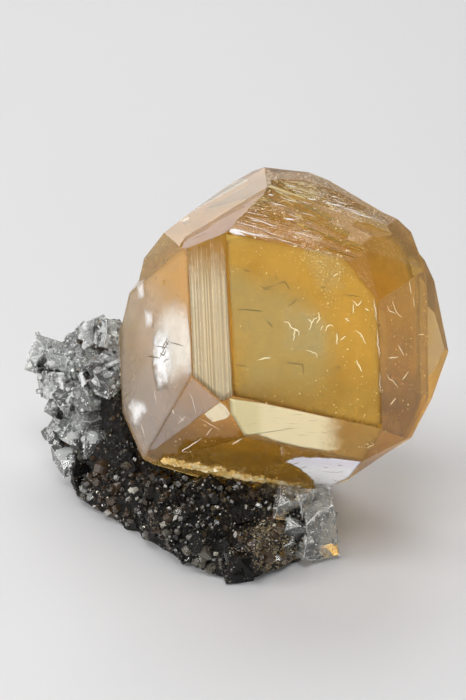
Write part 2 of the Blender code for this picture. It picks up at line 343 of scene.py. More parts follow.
def joined_shapes(shapes: list[Shape]) -> Shape:
    """Several lists of corners and faces as one list of corners and one of triangles."""
    starts = np.cumsum([0] + [len(points) for points, _ in shapes[:-1]])
    return (np.vstack([points for points, _ in shapes]),
            np.vstack([triangles(faces) + start for (_, faces), start in zip(shapes, starts)]))


def carve(obj: Piece, shapes: list[Shape]) -> None:
    """Cut solids out of an object.

    Args:
        obj: the object.
        shapes: the solids' corners, in mm, and faces.
    """
    points, faces = joined_shapes(shapes)
    cutter = mesh_object("cutter", points * MM, faces, bpy.data.materials.new("cut"))
    step = obj.modifiers.new("cut", "BOOLEAN")
    step.operation, step.solver, step.object, step.use_self = "DIFFERENCE", "EXACT", cutter, True
    graph = bpy.context.evaluated_depsgraph_get()
    result = bpy.data.meshes.new_from_object(obj.evaluated_get(graph), depsgraph=graph)
    obj.modifiers.clear()
    obj.data = result
    bpy.data.objects.remove(cutter)


def closed_strip(rings: Array, ends: Array) -> Shape:
    """A closed surface from a stack of rings and a point at either end.

    Triangles join ring i to ring i + 1 all the way round, and fans close the ends. They are
    turned over where the sum of a . (b x c) / 6, the enclosed volume, comes out negative.

    Args:
        rings: rows x columns x 3 positions.
        ends: the point that closes the first ring and the one that closes the last.

    Returns:
        The points and the triangles.
    """
    rows, columns = rings.shape[:2]
    points = np.vstack([rings.reshape(-1, 3), ends])
    k = np.arange(columns)
    after = (k + 1) % columns
    base = np.arange(rows - 1)[:, None] * columns
    lower, upper = base + k, base + after
    body = np.concatenate([np.stack([lower, upper, lower + columns], axis=-1).reshape(-1, 3),
                           np.stack([upper, upper + columns, lower + columns], axis=-1).reshape(-1, 3)])
    start, top = rows * columns, (rows - 1) * columns
    fans = np.concatenate([np.stack([np.full(columns, start), after, k], axis=1),
                           np.stack([np.full(columns, start + 1), top + k, top + after], axis=1)])
    faces = np.concatenate([body, fans])
    a, b, c = (points[faces[:, i]] - points.mean(0) for i in range(3))
    return points, faces if np.einsum("ij,ij->", a, np.cross(b, c)) > 0 else faces[:, ::-1]


def unit(vectors: Array) -> Array:
    """Vectors scaled to length one."""
    return vectors / np.linalg.norm(vectors, axis=-1, keepdims=True)


def axis_turn(axis: Spot, degrees: float) -> Array:
    """The matrix of a turn by t about an axis: I + sin(t) K + (1 - cos(t)) K K.

    Args:
        axis: the axis's direction.
        degrees: how far it turns.

    Returns:
        A 3 x 3 matrix.
    """
    x, y, z = unit(np.array(axis, float))
    k = np.array([[0, -z, y], [z, 0, -x], [-y, x, 0]])
    t = math.radians(degrees)
    return np.eye(3) + math.sin(t) * k + (1 - math.cos(t)) * (k @ k)


@dataclass(frozen=True)
class Path:
    """A line through corners on a face, in mm across and up it, that is walked by its length."""

    corners: Array

    def runs(self) -> Array:
        """How far along the line each corner lies, mm."""
        return np.concatenate([[0.0], np.cumsum(np.linalg.norm(np.diff(self.corners, axis=0), axis=1))])

    def at(self, where: Array) -> Array:
        """The places that lie so far along the line."""
        return np.stack([np.interp(where, self.runs(), self.corners[:, i]) for i in (0, 1)], axis=1)


class Lattice:
    """Smooth random numbers on a square lattice that repeats."""

    SIDE = 64

    def __init__(self, seed: int) -> None:
        """Draw the lattice's numbers."""
        self.table = np.random.default_rng(seed).random((self.SIDE, self.SIDE))

    def at(self, x: Array, y: Array) -> Array:
        """Values from 0 to 1, blended between lattice points by t^2 (3 - 2 t) in each direction.

        Args:
            x: places along the lattice's rows.
            y: places across them.

        Returns:
            One value a place.
        """
        i, j = np.floor(x).astype(int), np.floor(y).astype(int)
        u, v = x - i, y - j
        u, v = u * u * (3 - 2 * u), v * v * (3 - 2 * v)
        near, far = ([self.table[(i + a) % self.SIDE, (j + b) % self.SIDE] for b in (0, 1)] for a in (0, 1))
        return (near[0] * (1 - u) + far[0] * u) * (1 - v) + (near[1] * (1 - u) + far[1] * u) * v


WAVES = 30
WAVE_GAIN = 2.9
WAVE_COUNTS = (0.4, 1.6)


def patchiness(points: Array, length: float, seed: int) -> Array:
    """A smooth random field, about -1 to 1: the mean of sine waves in random directions, times the gain.

    Args:
        points: rows of positions, mm.
        length: the waves' typical length, mm.
        seed: the random seed.

    Returns:
        One value a point.
    """
    rng = np.random.default_rng(seed)
    waves = unit(rng.normal(size=(WAVES, 3))) * (2 * math.pi / length * rng.uniform(*WAVE_COUNTS, (WAVES, 1)))
    return WAVE_GAIN * np.sin(points @ waves.T + rng.uniform(0, 2 * math.pi, WAVES)).mean(1)


@dataclass(frozen=True)
class CrystalAxes:
    """Where the golden crystal's long axis points and how its faces are named."""

    centre: Spot = (7.6, 0.0, 31.0)
    swing: float = -22.0
    nod: float = 1.0
    roll: float = 16.0

    def turn(self) -> Array:
        """The matrix from the crystal's axes (long axis -Y, up +Z) to the specimen's."""
        swing, nod = axis_turn((0, 0, 1), self.swing), axis_turn((1, 0, 0), self.nod)
        return swing @ nod @ axis_turn((0, -1, 0), self.roll)

    def normals(self, faces: Array) -> Array:
        """Outward directions of faces given as rows of tilt t and turn a, in degrees, and distance.

        Each is (sin t sin a, -cos t, sin t cos a) in the crystal's axes, turned to the specimen's.
        """
        t, a = np.radians(faces[:, 0]), np.radians(faces[:, 1])
        return np.stack([np.sin(t) * np.sin(a), -np.cos(t), np.sin(t) * np.cos(a)], axis=1) @ self.turn().T


# face: tilt from the long axis and turn about it in degrees, distance from the middle in mm
FRONT_FACES: dict[str, Spot] = {
    "broad right": (46, 60, 14.4), "broad left": (46, -58, 18.2), "broad lower": (41, -179, 19.7),
    "striped strip": (28, -3, 18.2), "lower right strip": (26, 143, 19.3),
    "lower left strip": (23, -161, 20.4), "small corner": (22, -81, 20.4),
    "long upper bevel": (89, -12, 20.0), "short upper bevel": (82, -34, 20.9), "broken top": (88, 33, 17.7),
    "upper right bevel": (84, 63, 18.1), "right side": (81, 87, 18.3), "lower right corner": (55, 137, 23.9),
    "lower right rim": (68, 152, 24.0), "right rim": (135, 129, 18.7), "upper right rim": (140, 116, 19.9),
    "top rim right": (156, 33, 20.8), "top rim left": (139, -27, 20.5), "left rim upper": (101, -31, 21.8),
    "right rim lower": (102, 154, 21.4), "left side": (88, -89, 27.7), "left side upper": (96, -61, 25.2),
    "left side lower": (70, -117, 28.7), "underside left": (83, -139, 25.5), "underside": (91, -156, 24.1),
    "seam": (144, -147, 10.7),
}


SAME_WAY = 0.9999
TINY = 1e-6
FAR = 1e3
OUTLINE_WAYS = 180
OUTLINE_ROUNDS = 3


@dataclass(frozen=True)
class Hull:
    """A convex solid given by its faces: a point p is inside where n . p < d for every face."""

    normals: Array
    reaches: Array

    @classmethod
    def of(cls, axes: CrystalAxes) -> "Hull":
        """The golden crystal's front faces as a solid, in mm, in the specimen's axes."""
        rows = np.array(list(FRONT_FACES.values()), float)
        return cls(axes.normals(rows), rows[:, 2] + axes.normals(rows) @ np.array(axes.centre))

    def depth(self, points: Array) -> Array:
        """How deep points lie below the nearest face, in mm, negative outside: min(d - n . p)."""
        return np.min(self.reaches - points @ self.normals.T, axis=1)

    def lean(self, plane: "FacePlane") -> tuple[Array, Array]:
        """Which faces are others than a given one, and the cosines of their angles to it."""
        lean = self.normals @ plane.out
        return lean < SAME_WAY, lean

    def room(self, plane: "FacePlane", start: Array, ways: Array) -> Array:
        """How far from a spot on a face its border lies in some directions, mm.

        The border is where the first other face is met, at the least of (d - n . o) / (n . w) over the
        faces, with o the spot and w the direction.

        Args:
            plane: the face.
            start: the spot, across and up the face.
            ways: rows of directions, across and up it.

        Returns:
            One distance a direction.
        """
        others, _ = self.lean(plane)
        speed = (ways[:, :1] * plane.across + ways[:, 1:] * plane.up) @ self.normals[others].T
        free = self.reaches[others] - self.normals[others] @ plane.at(start[None])[0]
        return np.where(speed > TINY, free / np.maximum(speed, TINY), FAR).min(1)

    def outline(self, plane: "FacePlane", inset: float) -> Array:
        """The border of one face all round its middle, in mm across and up it.

        The middle is found in a few rounds, each time as the mean of the border seen from the last one.

        Args:
            plane: the face.
            inset: how far inside the border the outline stays, mm.

        Returns:
            Rows of across and up.
        """
        angle = np.linspace(0.0, 2 * math.pi, OUTLINE_WAYS, endpoint=False)
        ways = np.stack([np.cos(angle), np.sin(angle)], axis=1)
        middle = np.zeros(2)
        for _ in range(OUTLINE_ROUNDS):
            edge = middle + (self.room(plane, middle, ways) - inset)[:, None] * ways
            middle = edge.mean(0)
        return edge

    def margin(self, plane: "FacePlane", spots: Array) -> Array:
        """How far spots on a face lie from its border, mm.

        That is the least of (d - n . p) / sin a over the other faces, with a their angle to the face.

        Args:
            plane: the face.
            spots: rows of across and up.

        Returns:
            One distance a spot.
        """
        others, lean = self.lean(plane)
        free = self.reaches[others] - plane.at(spots) @ self.normals[others].T
        return (free / np.sqrt(1.0 - lean[others] ** 2)).min(1)

    def within(self, plane: "FacePlane", spots: Array, inset: float) -> Array:
        """Spots on a face, with those beyond its border drawn in to it along the line to their middle.

        Args:
            plane: the face.
            spots: rows of across and up.
            inset: how far inside the border they stay, mm.

        Returns:
            Rows of across and up.
        """
        middle = spots.mean(0)
        apart = spots - middle
        length = np.linalg.norm(apart, axis=1, keepdims=True)
        room = self.room(plane, middle, apart / length)[:, None] - inset
        return middle + apart * np.minimum(1.0, room / length)


@dataclass(frozen=True)
class FacePlane:
    """A face of the golden crystal with two directions in it, all in mm.

    The middle is the foot of the line from the crystal's centre; across is level and up is square to it.
    """

    middle: Array
    across: Array
    up: Array
    out: Array

    @classmethod
    def of(cls, axes: CrystalAxes, name: str) -> "FacePlane":
        """The plane of a face.

        Args:
            axes: the crystal's axes.
            name: the face's name.

        Returns:
            The plane.
        """
        row = np.array([FRONT_FACES[name]], float)
        out = axes.normals(row)[0]
        across = unit(np.cross((0.0, 0.0, 1.0), out))
        return cls(np.array(axes.centre) + out * row[0, 2], across, np.cross(out, across), out)

    def at(self, spots: Array, depth: object = 0.0) -> Array:
        """Points below the face, middle + u across + v up - depth out, from rows of u and v in mm."""
        sink = np.broadcast_to(np.asarray(depth, float), len(spots))[:, None] * self.out
        return self.middle + spots[:, :1] * self.across + spots[:, 1:2] * self.up - sink

    def edge(self, other: "FacePlane") -> tuple[Array, Array]:
        """The direction of the edge shared with another face, and the one square to it in this face."""
        along = unit(np.cross(other.out, self.out))
        return along, np.cross(self.out, along)

    def course(self, way: Array) -> tuple[Spot, float]:
        """A direction as plain numbers, and how far along it the face's middle lies, mm."""
        return tuple(float(v) for v in way), float(self.middle @ way)


@dataclass(frozen=True)
class PhotoView:
    """Where the photograph was taken from, in mm and degrees, and its size in pixels."""

    elevation: float = 25.0
    distance: float = 400.0
    target: Spot = (0.0, -1.2, 28.6)
    lens: float = 135.0
    film_height: float = 36.0
    width: int = 466
    height: int = 700

    def back(self) -> Array:
        """The direction from the specimen to the camera."""
        e = math.radians(self.elevation)
        return np.array([0.0, -math.cos(e), math.sin(e)])

    def on_face(self, plane: FacePlane, pixels: object) -> Array:
        """The spots of a face that pixels of the photograph show, in mm across and up it.

        A line of sight runs from the camera o through target + k (x right + y up), where x and y are counted
        from the picture's middle and k is a pixel's size there, distance * film height / (lens * height).
        It meets the face at o + w (m - o) . n / (w . n), with m the face's middle and n its direction.

        Args:
            plane: the face.
            pixels: rows of pixels across and down.

        Returns:
            Rows of across and up.
        """
        pixels = np.array(pixels, float)
        right = np.array([1.0, 0.0, 0.0])
        upward = np.cross(self.back(), right)
        step = self.distance * self.film_height / (self.lens * self.height)
        shift = (pixels[:, :1] - self.width / 2) * right + (self.height / 2 - pixels[:, 1:]) * upward
        eye = np.array(self.target) + self.distance * self.back()
        ways = step * shift - self.distance * self.back()
        reach = ((plane.middle - eye) @ plane.out) / (ways @ plane.out)
        points = eye + reach[:, None] * ways - plane.middle
        return np.stack([points @ plane.across, points @ plane.up], axis=1)


# Small crystals, many at a time


@dataclass(frozen=True)
class Habit:
    """The shape of a small crystal: a six-sided prism with three sloping faces at each end.

    The upper end is z = top - slope * max over three directions of x cos(f) + y sin(f), and the
    lower end is the same turned by 60 degrees. The ring has radius 1.
    """

    top: float = 1.1
    slope: float = 0.9

    def shape(self) -> Shape:
        """The crystal at size 1.

        Returns:
            The 14 corners, as upper ring, lower ring, upper tip and lower tip, and the 12 faces of four.
        """
        k = np.arange(6)
        angle = np.radians(k * 60)
        even, odd = k[::2], k[1::2]
        tall, short = self.top - self.slope / 2, self.top - self.slope
        ring = np.stack([np.cos(angle), np.sin(angle)], axis=1)
        high, low = np.where(k % 2 == 0, short, tall), -np.where(k % 2 == 0, tall, short)
        corners = np.vstack([np.column_stack([ring, high]), np.column_stack([ring, low]),
                             [[0, 0, self.top], [0, 0, -self.top]]])
        sides = np.stack([k, k + 6, (k + 1) % 6 + 6, (k + 1) % 6], axis=1)
        caps = np.stack([np.full(3, 12), (even - 1) % 6, even, (even + 1) % 6], axis=1)
        feet = np.stack([np.full(3, 13), (odd + 1) % 6 + 6, odd + 6, (odd - 1) % 6 + 6], axis=1)
        return corners, np.vstack([sides, caps, feet])


BOX: Shape = (np.array([[x, y, z] for x in (-1, 1) for y in (-1, 1) for z in (-1, 1)], float) / 2,
              np.array([[0, 1, 3, 2], [4, 6, 7, 5], [0, 4, 5, 1], [2, 3, 7, 6], [0, 2, 6, 4], [1, 5, 7, 3]]))


def copies(shape: Shape, spots: Array, turns: Array, sizes: Array) -> Shape:
    """Copies of one shape: point = spot + turn (size * corner), for all at once.

    Args:
        shape: the shape's corners and faces of four.
        spots: n positions.
        turns: n matrices.
        sizes: n rows of three sizes.

    Returns:
        The corners and the faces of all copies.
    """
    corners, quads = shape
    points = np.einsum("nij,nkj->nki", turns, corners[None] * sizes[:, None, :]) + spots[:, None, :]
    steps = np.arange(len(spots))[:, None, None] * len(corners)
    return points.reshape(-1, 3), (quads[None] + steps).reshape(-1, 4)


def leaning_turns(rng: np.random.Generator, normals: Array, spread: float) -> Array:
    """Turns that set each crystal's long axis near its surface normal, with a random spin.

    The axis is normal + spread * a random vector, made unit length; the other two axes are square to it.

    Args:
        rng: the random numbers.
        normals: rows of surface directions.
        spread: how far the axes lean.

    Returns:
        One matrix a row.
    """
    count = len(normals)
    up = unit(normals + spread * rng.normal(size=(count, 3)))
    side = unit(np.cross(up, rng.normal(size=(count, 3))))
    return np.stack([side, np.cross(up, side), up], axis=2)


@dataclass
class Ground:
    """The triangles of a part of the frame, to stand small crystals on."""

    corners: Array

    @classmethod
    def of(cls, node: Piece) -> "Ground":
        """Read a part's triangles.

        Args:
            node: the part's object.

        Returns:
            The triangles' corners, in mm.
        """
        mesh = node.data
        mesh.calc_loop_triangles()
        points = np.empty(len(mesh.vertices) * 3, np.float32)
        mesh.vertices.foreach_get("co", points)
        index = np.empty(len(mesh.loop_triangles) * 3, np.int32)
        mesh.loop_triangles.foreach_get("vertices", index)
        return cls(points.reshape(-1, 3)[index].reshape(-1, 3, 3).astype(float) / MM)

    def spots(self, rng: np.random.Generator, count: int) -> tuple[Array, Array]:
        """Random points spread evenly over the surface.

        A point is a + u (b - a) + v (c - a), with u and v folded back where u + v > 1.

        Args:
            rng: the random numbers.
            count: how many points.

        Returns:
            The points and the surface's normals there.
        """
        a, b, c = self.corners[:, 0], self.corners[:, 1], self.corners[:, 2]
        cross = np.cross(b - a, c - a)
        area = np.linalg.norm(cross, axis=1)
        pick = rng.choice(len(area), count, p=area / area.sum())
        u, v = rng.random((2, count, 1))
        fold = u + v > 1
        u, v = np.where(fold, 1 - u, u), np.where(fold, 1 - v, v)
        return a[pick] + u * (b - a)[pick] + v * (c - a)[pick], unit(cross[pick] + 1e-12)


STEEP = 0.25
HOLLOW_REACH = 2.0
HOLLOW_LOOKS = 2500
CHUNK = 400


def hollowness(points: Array, normals: Array, ground: Ground,
               rng: np.random.Generator) -> Array:
    """How much of the ground near each point stands above it, 0 to 1.

    Of the ground's random points q within reach, it is the share with (q - p) . n > steep |q - p|.

    Args:
        points: rows of positions p, mm.
        normals: the surface's directions n there.
        ground: the ground.
        rng: the random numbers that pick the ground's points.

    Returns:
        One share a point.
    """
    others = ground.spots(rng, HOLLOW_LOOKS)[0]
    chunks = len(points) // CHUNK + 1
    shares = []
    for some, way in zip(np.array_split(points, chunks), np.array_split(normals, chunks)):
        apart = others[None] - some[:, None]
        far = np.linalg.norm(apart, axis=2)
        near = (far < HOLLOW_REACH) & (far > TINY)
        above = np.einsum("nki,ni->nk", apart, way) > STEEP * far
        shares.append((near & above).sum(1) / np.maximum(near.sum(1), 1))
    return np.concatenate(shares)


# Finishes

CALCITE_IOR = 1.6


@dataclass(frozen=True)
class HoneyGlass:
    """Clear calcite of a honey colour: striped on one strip, splintery on the broken top, frosted behind."""

    axes: CrystalAxes
    absorbed: Colour = (0.965, 0.805, 0.20)
    density: float = 76.0
    clear: Colour = (1.0, 0.98, 0.90)
    warm: Colour = (1.0, 0.93, 0.76)
    strip_tint: Colour = (1.0, 0.98, 0.92)
    tint_grain: Grain = Grain(0.06)
    waves: Grain = Grain(0.09, 3.0)
    wave_depth: float = 0.16
    lines: Grain = Grain(2.6, 3.0, 0.7)
    line_depth: float = 0.05
    splinters: Grain = Grain(1.3, 3.0, 0.6)
    splinter_depth: float = 0.13
    frost: Grain = Grain(0.35, 3.0)
    frost_depth: float = 0.10
    pits: Patches = Patches(Grain(0.8, 4.0, 0.6), (0.62, 0.72), (0.0, 0.05))
    smears: Patches = Patches(Grain(0.2, 3.0), (0.3, 0.7), (0.12, 0.28))
    smooth: float = 0.012
    broken_rough: float = 0.05
    frosted_rough: float = 0.50

    def material(self) -> Material:
        """Build the finish; the mesh says which faces are striped, broken, frosted or dull.

        Returns:
            The material.
        """
        g = Graph("honey calcite")
        p = g.place()
        marks = ("striped", "broken", "frosted", "dull")
        striped, broken, frosted, dull = (g.attribute(key) for key in marks)
        _, across = FacePlane.of(self.axes, "striped strip").edge(FacePlane.of(self.axes, "broad right"))
        normal = g.bump(g.noise(p, self.waves), self.wave_depth)
        normal = g.bump(g.lined(p, across, self.lines), self.line_depth, striped, normal)
        normal = g.bump(g.noise(p, self.splinters), self.splinter_depth, broken, normal)
        normal = g.bump(g.noise(p, self.frost), self.frost_depth, frosted, normal)
        tint = g.mix(g.noise(p, self.tint_grain), self.clear, self.warm)
        tint = g.mix(striped, tint, self.strip_tint)
        rough = g.plus(g.patches(p, self.pits), g.times(broken, self.broken_rough))
        rough = g.plus(rough, g.times(frosted, self.frosted_rough))
        rough = g.plus(rough, g.times(dull, g.patches(p, self.smears)))
        surface = g.shader(Base_Color=tint, Roughness=g.plus(rough, self.smooth), IOR=CALCITE_IOR,
                           Transmission_Weight=1.0, Normal=normal)
        g.fill(self.absorbed, self.density)
        return g.finish(surface)


class Pattern(Enum):
    """How a film thins out."""

    CLOUD = "soft cloud"
    HAZE = "thick haze with a wide soft rim"
    EVEN = "even, with a soft rim"
    TORN = "ragged outline"
    STRIPED = "fine parallel lines"
    GLARE = "bright middle, soft rim"
    WASH = "a thin veil over a whole face"


@dataclass(frozen=True)
class Spread:
    """What a pattern is made of: a smooth step of noise, times a smooth fall towards the film's rim.

    The step rises over levels, from least to 1. The fall runs over the rim values given as falls, from 1
    to last, and fray says how much ragged noise is added to the rim value first. Pull stretches the noise.
    """

    grain: Grain
    levels: Span
    least: float
    falls: Span
    last: float = 0.0
    fray: float = 0.0
    pull: Spot = (1.0, 1.0, 1.0)


RAGGED = Grain(0.55, 5.0, 0.68)
SPREADS = {
    Pattern.CLOUD: Spread(Grain(0.13, 5.0, 0.6, 0.5), (0.36, 0.68), 0.0, (0.45, 1.0)),
    Pattern.HAZE: Spread(Grain(0.22, 4.0, 0.6, 0.3), (0.25, 0.65), 0.62, (0.50, 1.08), fray=0.2),
    Pattern.WASH: Spread(Grain(0.12, 4.0, 0.6, 0.4), (0.25, 0.70), 0.60, (0.53, 0.55)),
    Pattern.EVEN: Spread(RAGGED, (0.2, 0.6), 0.75, (0.8, 1.0)),
    Pattern.TORN: Spread(Grain(0.9, 4.0, 0.6), (0.30, 0.42), 0.70, (1.08, 1.20), fray=0.42,
                         pull=(0.3, 3.2, 3.2)),
    Pattern.STRIPED: Spread(Grain(2.3, 4.0, 0.8), (0.44, 0.58), 0.45, (0.88, 1.0), last=0.6),
}


@dataclass(frozen=True)
class Film:
    """A thin pale film in or on the crystal that lets some light through: a healed crack, or painted glare,
    sheen, reflection, glow or shade.

    A fade names a direction and two places along it, in mm, between which the film thins away, with a
    ragged border as wide as ragged_fade. A tone names the same and the colour that the film takes on
    beyond them. Across is the direction in which the striped pattern's lines follow each other.
    """

    colour: Colour
    cover: float
    pattern: Pattern
    across: Spot = (1.0, 0.0, 0.0)
    fade: tuple[Spot, float, float] | None = None
    tone: tuple[Spot, float, float, Colour] | None = None
    roughness: float = 0.45
    ragged_fade: float = 3.0
    glare_fray: float = 1.5
    glare_fall: Span = (0.05, 1.05)
    glare_rim: Span = (0.8, 1.0)

    def thinning(self, g: Graph, p: Socket) -> Socket:
        """How much of the film's cover is left at each place, 0 to 1.

        The mesh's "rim" runs from 0 in the middle of a film to 1 at its edge.

        Args:
            g: the material's tree.
            p: the place, mm.

        Returns:
            The number's socket.
        """
        rim, ragged = g.attribute("rim"), g.noise(p, RAGGED)
        if self.pattern is Pattern.GLARE:
            soft = g.plus(rim, g.times(g.plus(ragged, -0.5), self.glare_fray))
            left = g.times(g.fall(soft, *self.glare_fall), g.fall(rim, *self.glare_rim))
        else:
            kind = SPREADS[self.pattern]
            if self.pattern is Pattern.STRIPED:
                texture = g.lined(p, self.across, kind.grain)
            else:
                texture = g.noise(g.stretch(p, kind.pull), kind.grain)
            edge = g.plus(rim, g.times(ragged, kind.fray))
            left = g.times(g.between(texture, *kind.levels, kind.least),
                           g.between(edge, *kind.falls, 1.0, kind.last))
        if self.fade is not None:
            direction, here, gone = self.fade
            reach = g.plus(g.dot(p, direction), g.times(g.plus(ragged, -0.5), self.ragged_fade))
            left = g.times(left, g.fall(reach, here, gone))
        return left

    def material(self, name: str) -> Material:
        """Build the finish.

        Args:
            name: the material's name.

        Returns:
            The material.
        """
        g = Graph(name, Blend.CLEAR)
        p = g.place()
        colour: object = self.colour
        if self.tone is not None:
            direction, here, gone, other = self.tone
            colour = g.mix(g.between(g.dot(p, direction), here, gone), self.colour, other)
        return g.finish(g.shader(Base_Color=colour, Roughness=self.roughness,
                                 Alpha=g.times(self.thinning(g, p), self.cover)))


@dataclass(frozen=True)
class CrackFill:
    """The bright or dark filling of small cracks and flecks."""

    colour: Colour = (1.0, 0.92, 0.62)
    roughness: float = 0.35
    dulling: float = 0.75
    grain: Grain = Grain(1.5)

    def material(self, name: str) -> Material:
        """Build the finish.

        Args:
            name: the material's name.

        Returns:
            The material.
        """
        g = Graph(name)
        dull = tuple(self.dulling * v for v in self.colour)
        tint = g.mix(g.noise(g.place(), self.grain), dull, self.colour)
        return g.finish(g.shader(Base_Color=tint, Roughness=self.roughness))


@dataclass(frozen=True)
class IceGlass:
    """Clear to greyish-white calcite, a little milky in places, with etched faces and painted shade in its
    hollows.
    """

    name: str
    clearness: float = 0.94
    bright: Colour = (1.0, 1.0, 0.98)
    dull: Colour = (0.84, 0.87, 0.84)
    smooth: float = 0.01
    dim: float = 0.12
    etch_depth: float = 0.03
    etch: Grain = Grain(2.2, 4.0, 0.6)
    cloud: Patches = Patches(Grain(0.5, 4.0, 0.6), (0.42, 0.62))
    dim_clouds: Span = (0.3, 1.0)
    # painted shade: the near-black colour that the hollows take on
    painted_shade: Colour = (0.012, 0.011, 0.009)
    painted_shade_grain: Grain = Grain(0.9, 3.0)
    painted_shade_unevenness: float = 0.1
    painted_shade_hollows: Span = (0.30, 0.55)
    ior: float = 1.62

    def material(self) -> Material:
        """Build the finish; the mesh says how hollow each place is, which sets the painted shade.

        Returns:
            The material.
        """
        g = Graph(self.name)
        p = g.place()
        cloud = g.patches(p, self.cloud)
        # painted shade: the hollower a place, the nearer it turns to near-black, a little unevenly
        hollow = g.plus(g.attribute("hollow"), g.times(g.noise(p, self.painted_shade_grain), self.painted_shade_unevenness))
        tint = g.mix(g.between(hollow, *self.painted_shade_hollows), g.mix(cloud, self.dull, self.bright), self.painted_shade)
        rough = g.between(cloud, *self.dim_clouds, self.smooth, self.dim)
        return g.finish(g.shader(Base_Color=tint, Roughness=rough, IOR=self.ior,
                                 Transmission_Weight=self.clearness,
                                 Normal=g.bump(g.noise(p, self.etch), self.etch_depth)))


@dataclass(frozen=True)
class ShadedGlass:
    """Small, partly clear crystals, from a base colour to a pale one; the mesh says how pale each is."""

    name: str
    clearness: float
    base: Colour
    pale: Colour
    pale_shades: Span
    polish: Patches
    grain_depth: float
    grain: Grain = Grain(2.5, 3.0)

    def material(self) -> Material:
        """Build the finish.

        Returns:
            The material.
        """
        g = Graph(self.name)
        p = g.place()
        tint = g.mix(g.between(g.attribute("shade"), *self.pale_shades), self.base, self.pale)
        return g.finish(g.shader(Base_Color=tint, Roughness=g.patches(p, self.polish), IOR=CALCITE_IOR,
                                 Transmission_Weight=self.clearness,
                                 Normal=g.bump(g.noise(p, self.grain), self.grain_depth)))


RIM_GLASS = ShadedGlass("rim scales", 0.15, (0.88, 0.59, 0.17), (1.0, 0.86, 0.52), (0.45, 0.95),
                        Patches(Grain(1.2), (0.3, 0.7), (0.06, 0.3)), 0.04)
SMOKY_GLASS = ShadedGlass("smoky calcite", 0.75, (0.30, 0.27, 0.21), (0.78, 0.79, 0.75), (0.55, 1.0),
                          Patches(Grain(1.5), (0.35, 0.65), (0.03, 0.22)), 0.03)


@dataclass(frozen=True)
class DarkCrystal:
    """Near-black to brown small crystals with bright faces; the mesh says how pale each one is.

    Sugary is how strongly the brown sugary patch shows round its spot, 0 to 1.
    """

    name: str = "dark small crystals"
    deep: Colour = (0.004, 0.0035, 0.003)
    brown: Colour = (0.045, 0.027, 0.014)
    grey: Colour = (0.085, 0.08, 0.062)
    # the palest few crystals are partly real pale grains and partly painted glints
    pale: Colour = (0.42, 0.40, 0.34)
    sugar: Colour = (0.17, 0.13, 0.075)
    sugar_spot: Spot = (6.0, -19.0, 4.0)
    sugar_reach: Span = (4.5, 9.0)
    sugar_grain: Grain = Grain(0.5, 3.0)
    sugar_unevenness: float = 4.0
    sugary: float = 0.0
    zones: Patches = Patches(Grain(0.13, 3.0, 0.6), (0.44, 0.62))
    grey_shades: Span = (0.70, 0.90)
    pale_shades: Span = (0.975, 0.99)
    polish: Patches = Patches(Grain(0.9), (0.35, 0.65), (0.04, 0.26))
    grain: Grain = Grain(3.0, 3.0, 0.6)
    grain_depth: float = 0.03
    ior: float = 1.66

    def material(self) -> Material:
        """Build the finish.

        Returns:
            The material.
        """
        g = Graph(self.name)
        p = g.place()
        shade, zone = g.attribute("shade"), g.patches(p, self.zones)
        tint = g.mix(zone, self.deep, self.brown)
        tint = g.mix(g.between(shade, *self.grey_shades), tint, g.mix(zone, self.grey, self.brown))
        uneven = g.times(g.noise(p, self.sugar_grain), self.sugar_unevenness)
        apart = g.plus(g.apart(p, self.sugar_spot), uneven)
        tint = g.mix(g.between(apart, *self.sugar_reach, self.sugary, 0.0), tint, self.sugar)
        # partly painted glints: the palest few crystals turn pale
        tint = g.mix(g.between(shade, *self.pale_shades), tint, self.pale)
        return g.finish(g.shader(Base_Color=tint, Roughness=g.patches(p, self.polish), IOR=self.ior,
                                 Normal=g.bump(g.noise(p, self.grain), self.grain_depth)))


@dataclass(frozen=True)
class BareBlock:
    """The flat-faced dark block in front, which carries no small crystals: its middle and half-width, mm."""

    middle: Spot = (1.0, -21.0, 2.6)
    half: float = 1.7


@dataclass(frozen=True)
class DarkRock:
    """Very dark brown rock with a sugary grain, smooth and black on the bare block."""

    deep: Colour = (0.004, 0.0035, 0.003)
    grey: Colour = (0.015, 0.013, 0.011)
    light: Colour = (0.050, 0.038, 0.024)
    zones: Patches = Patches(Grain(0.15, 3.0, 0.6), (0.4, 0.65))
    fine: Grain = Grain(2.8, 5.0, 0.7)
    fine_depth: float = 0.35
    fine_lights: Span = (0.50, 0.75)
    cell_scale: float = 1.6
    cell_depth: float = 0.5
    cell_edges: Span = (0.1, 0.6)
    cell_rough: Span = (0.18, 0.6)
    flat_reach: Span = (3.0, 3.8)
    flat_share: float = 0.10
    smooth: float = 0.04
    ior: float = 1.38

    def material(self) -> Material:
        """Build the finish.

        Returns:
            The material.
        """
        g = Graph("dark rock")
        p = g.place()
        cell, fine = g.cells(p, self.cell_scale), g.noise(p, self.fine)
        tint = g.mix(g.patches(p, self.zones), self.grey, self.light)
        tint = g.mix(g.between(fine, *self.fine_lights), self.deep, tint)
        rugged = g.between(g.plus(g.apart(p, BareBlock().middle), fine), *self.flat_reach, self.flat_share)
        tint = g.mix(rugged, self.deep, tint)
        normal = g.bump(fine, self.fine_depth, rugged, g.bump(cell, self.cell_depth, rugged))
        rough = g.times(g.between(cell, *self.cell_edges, *self.cell_rough), rugged)
        surface = g.shader(Base_Color=tint, Roughness=g.plus(rough, self.smooth), IOR=self.ior, Normal=normal)
        return g.finish(surface)


# The specimen


@dataclass(frozen=True)
class Ledges:
    """One size of the broken top's ledges.

    With q the place across them and step(t) = t - floor(t), which climbs and drops, they are
    share step(pitch q + sway n)^power, where n is smooth noise at the place times the two scales.
    """

    share: float
    pitch: float
    sway: float
    scales: Span
    power: int = 2


LEDGE_SIZES = (Ledges(0.62, 0.26, 1.3, (0.08, 0.30)), Ledges(0.30, 0.8, 1.8, (0.13, 0.55)),
               Ledges(0.08, 2.2, 2.0, (0.22, 1.1), 1))
LATTICE_START = 20


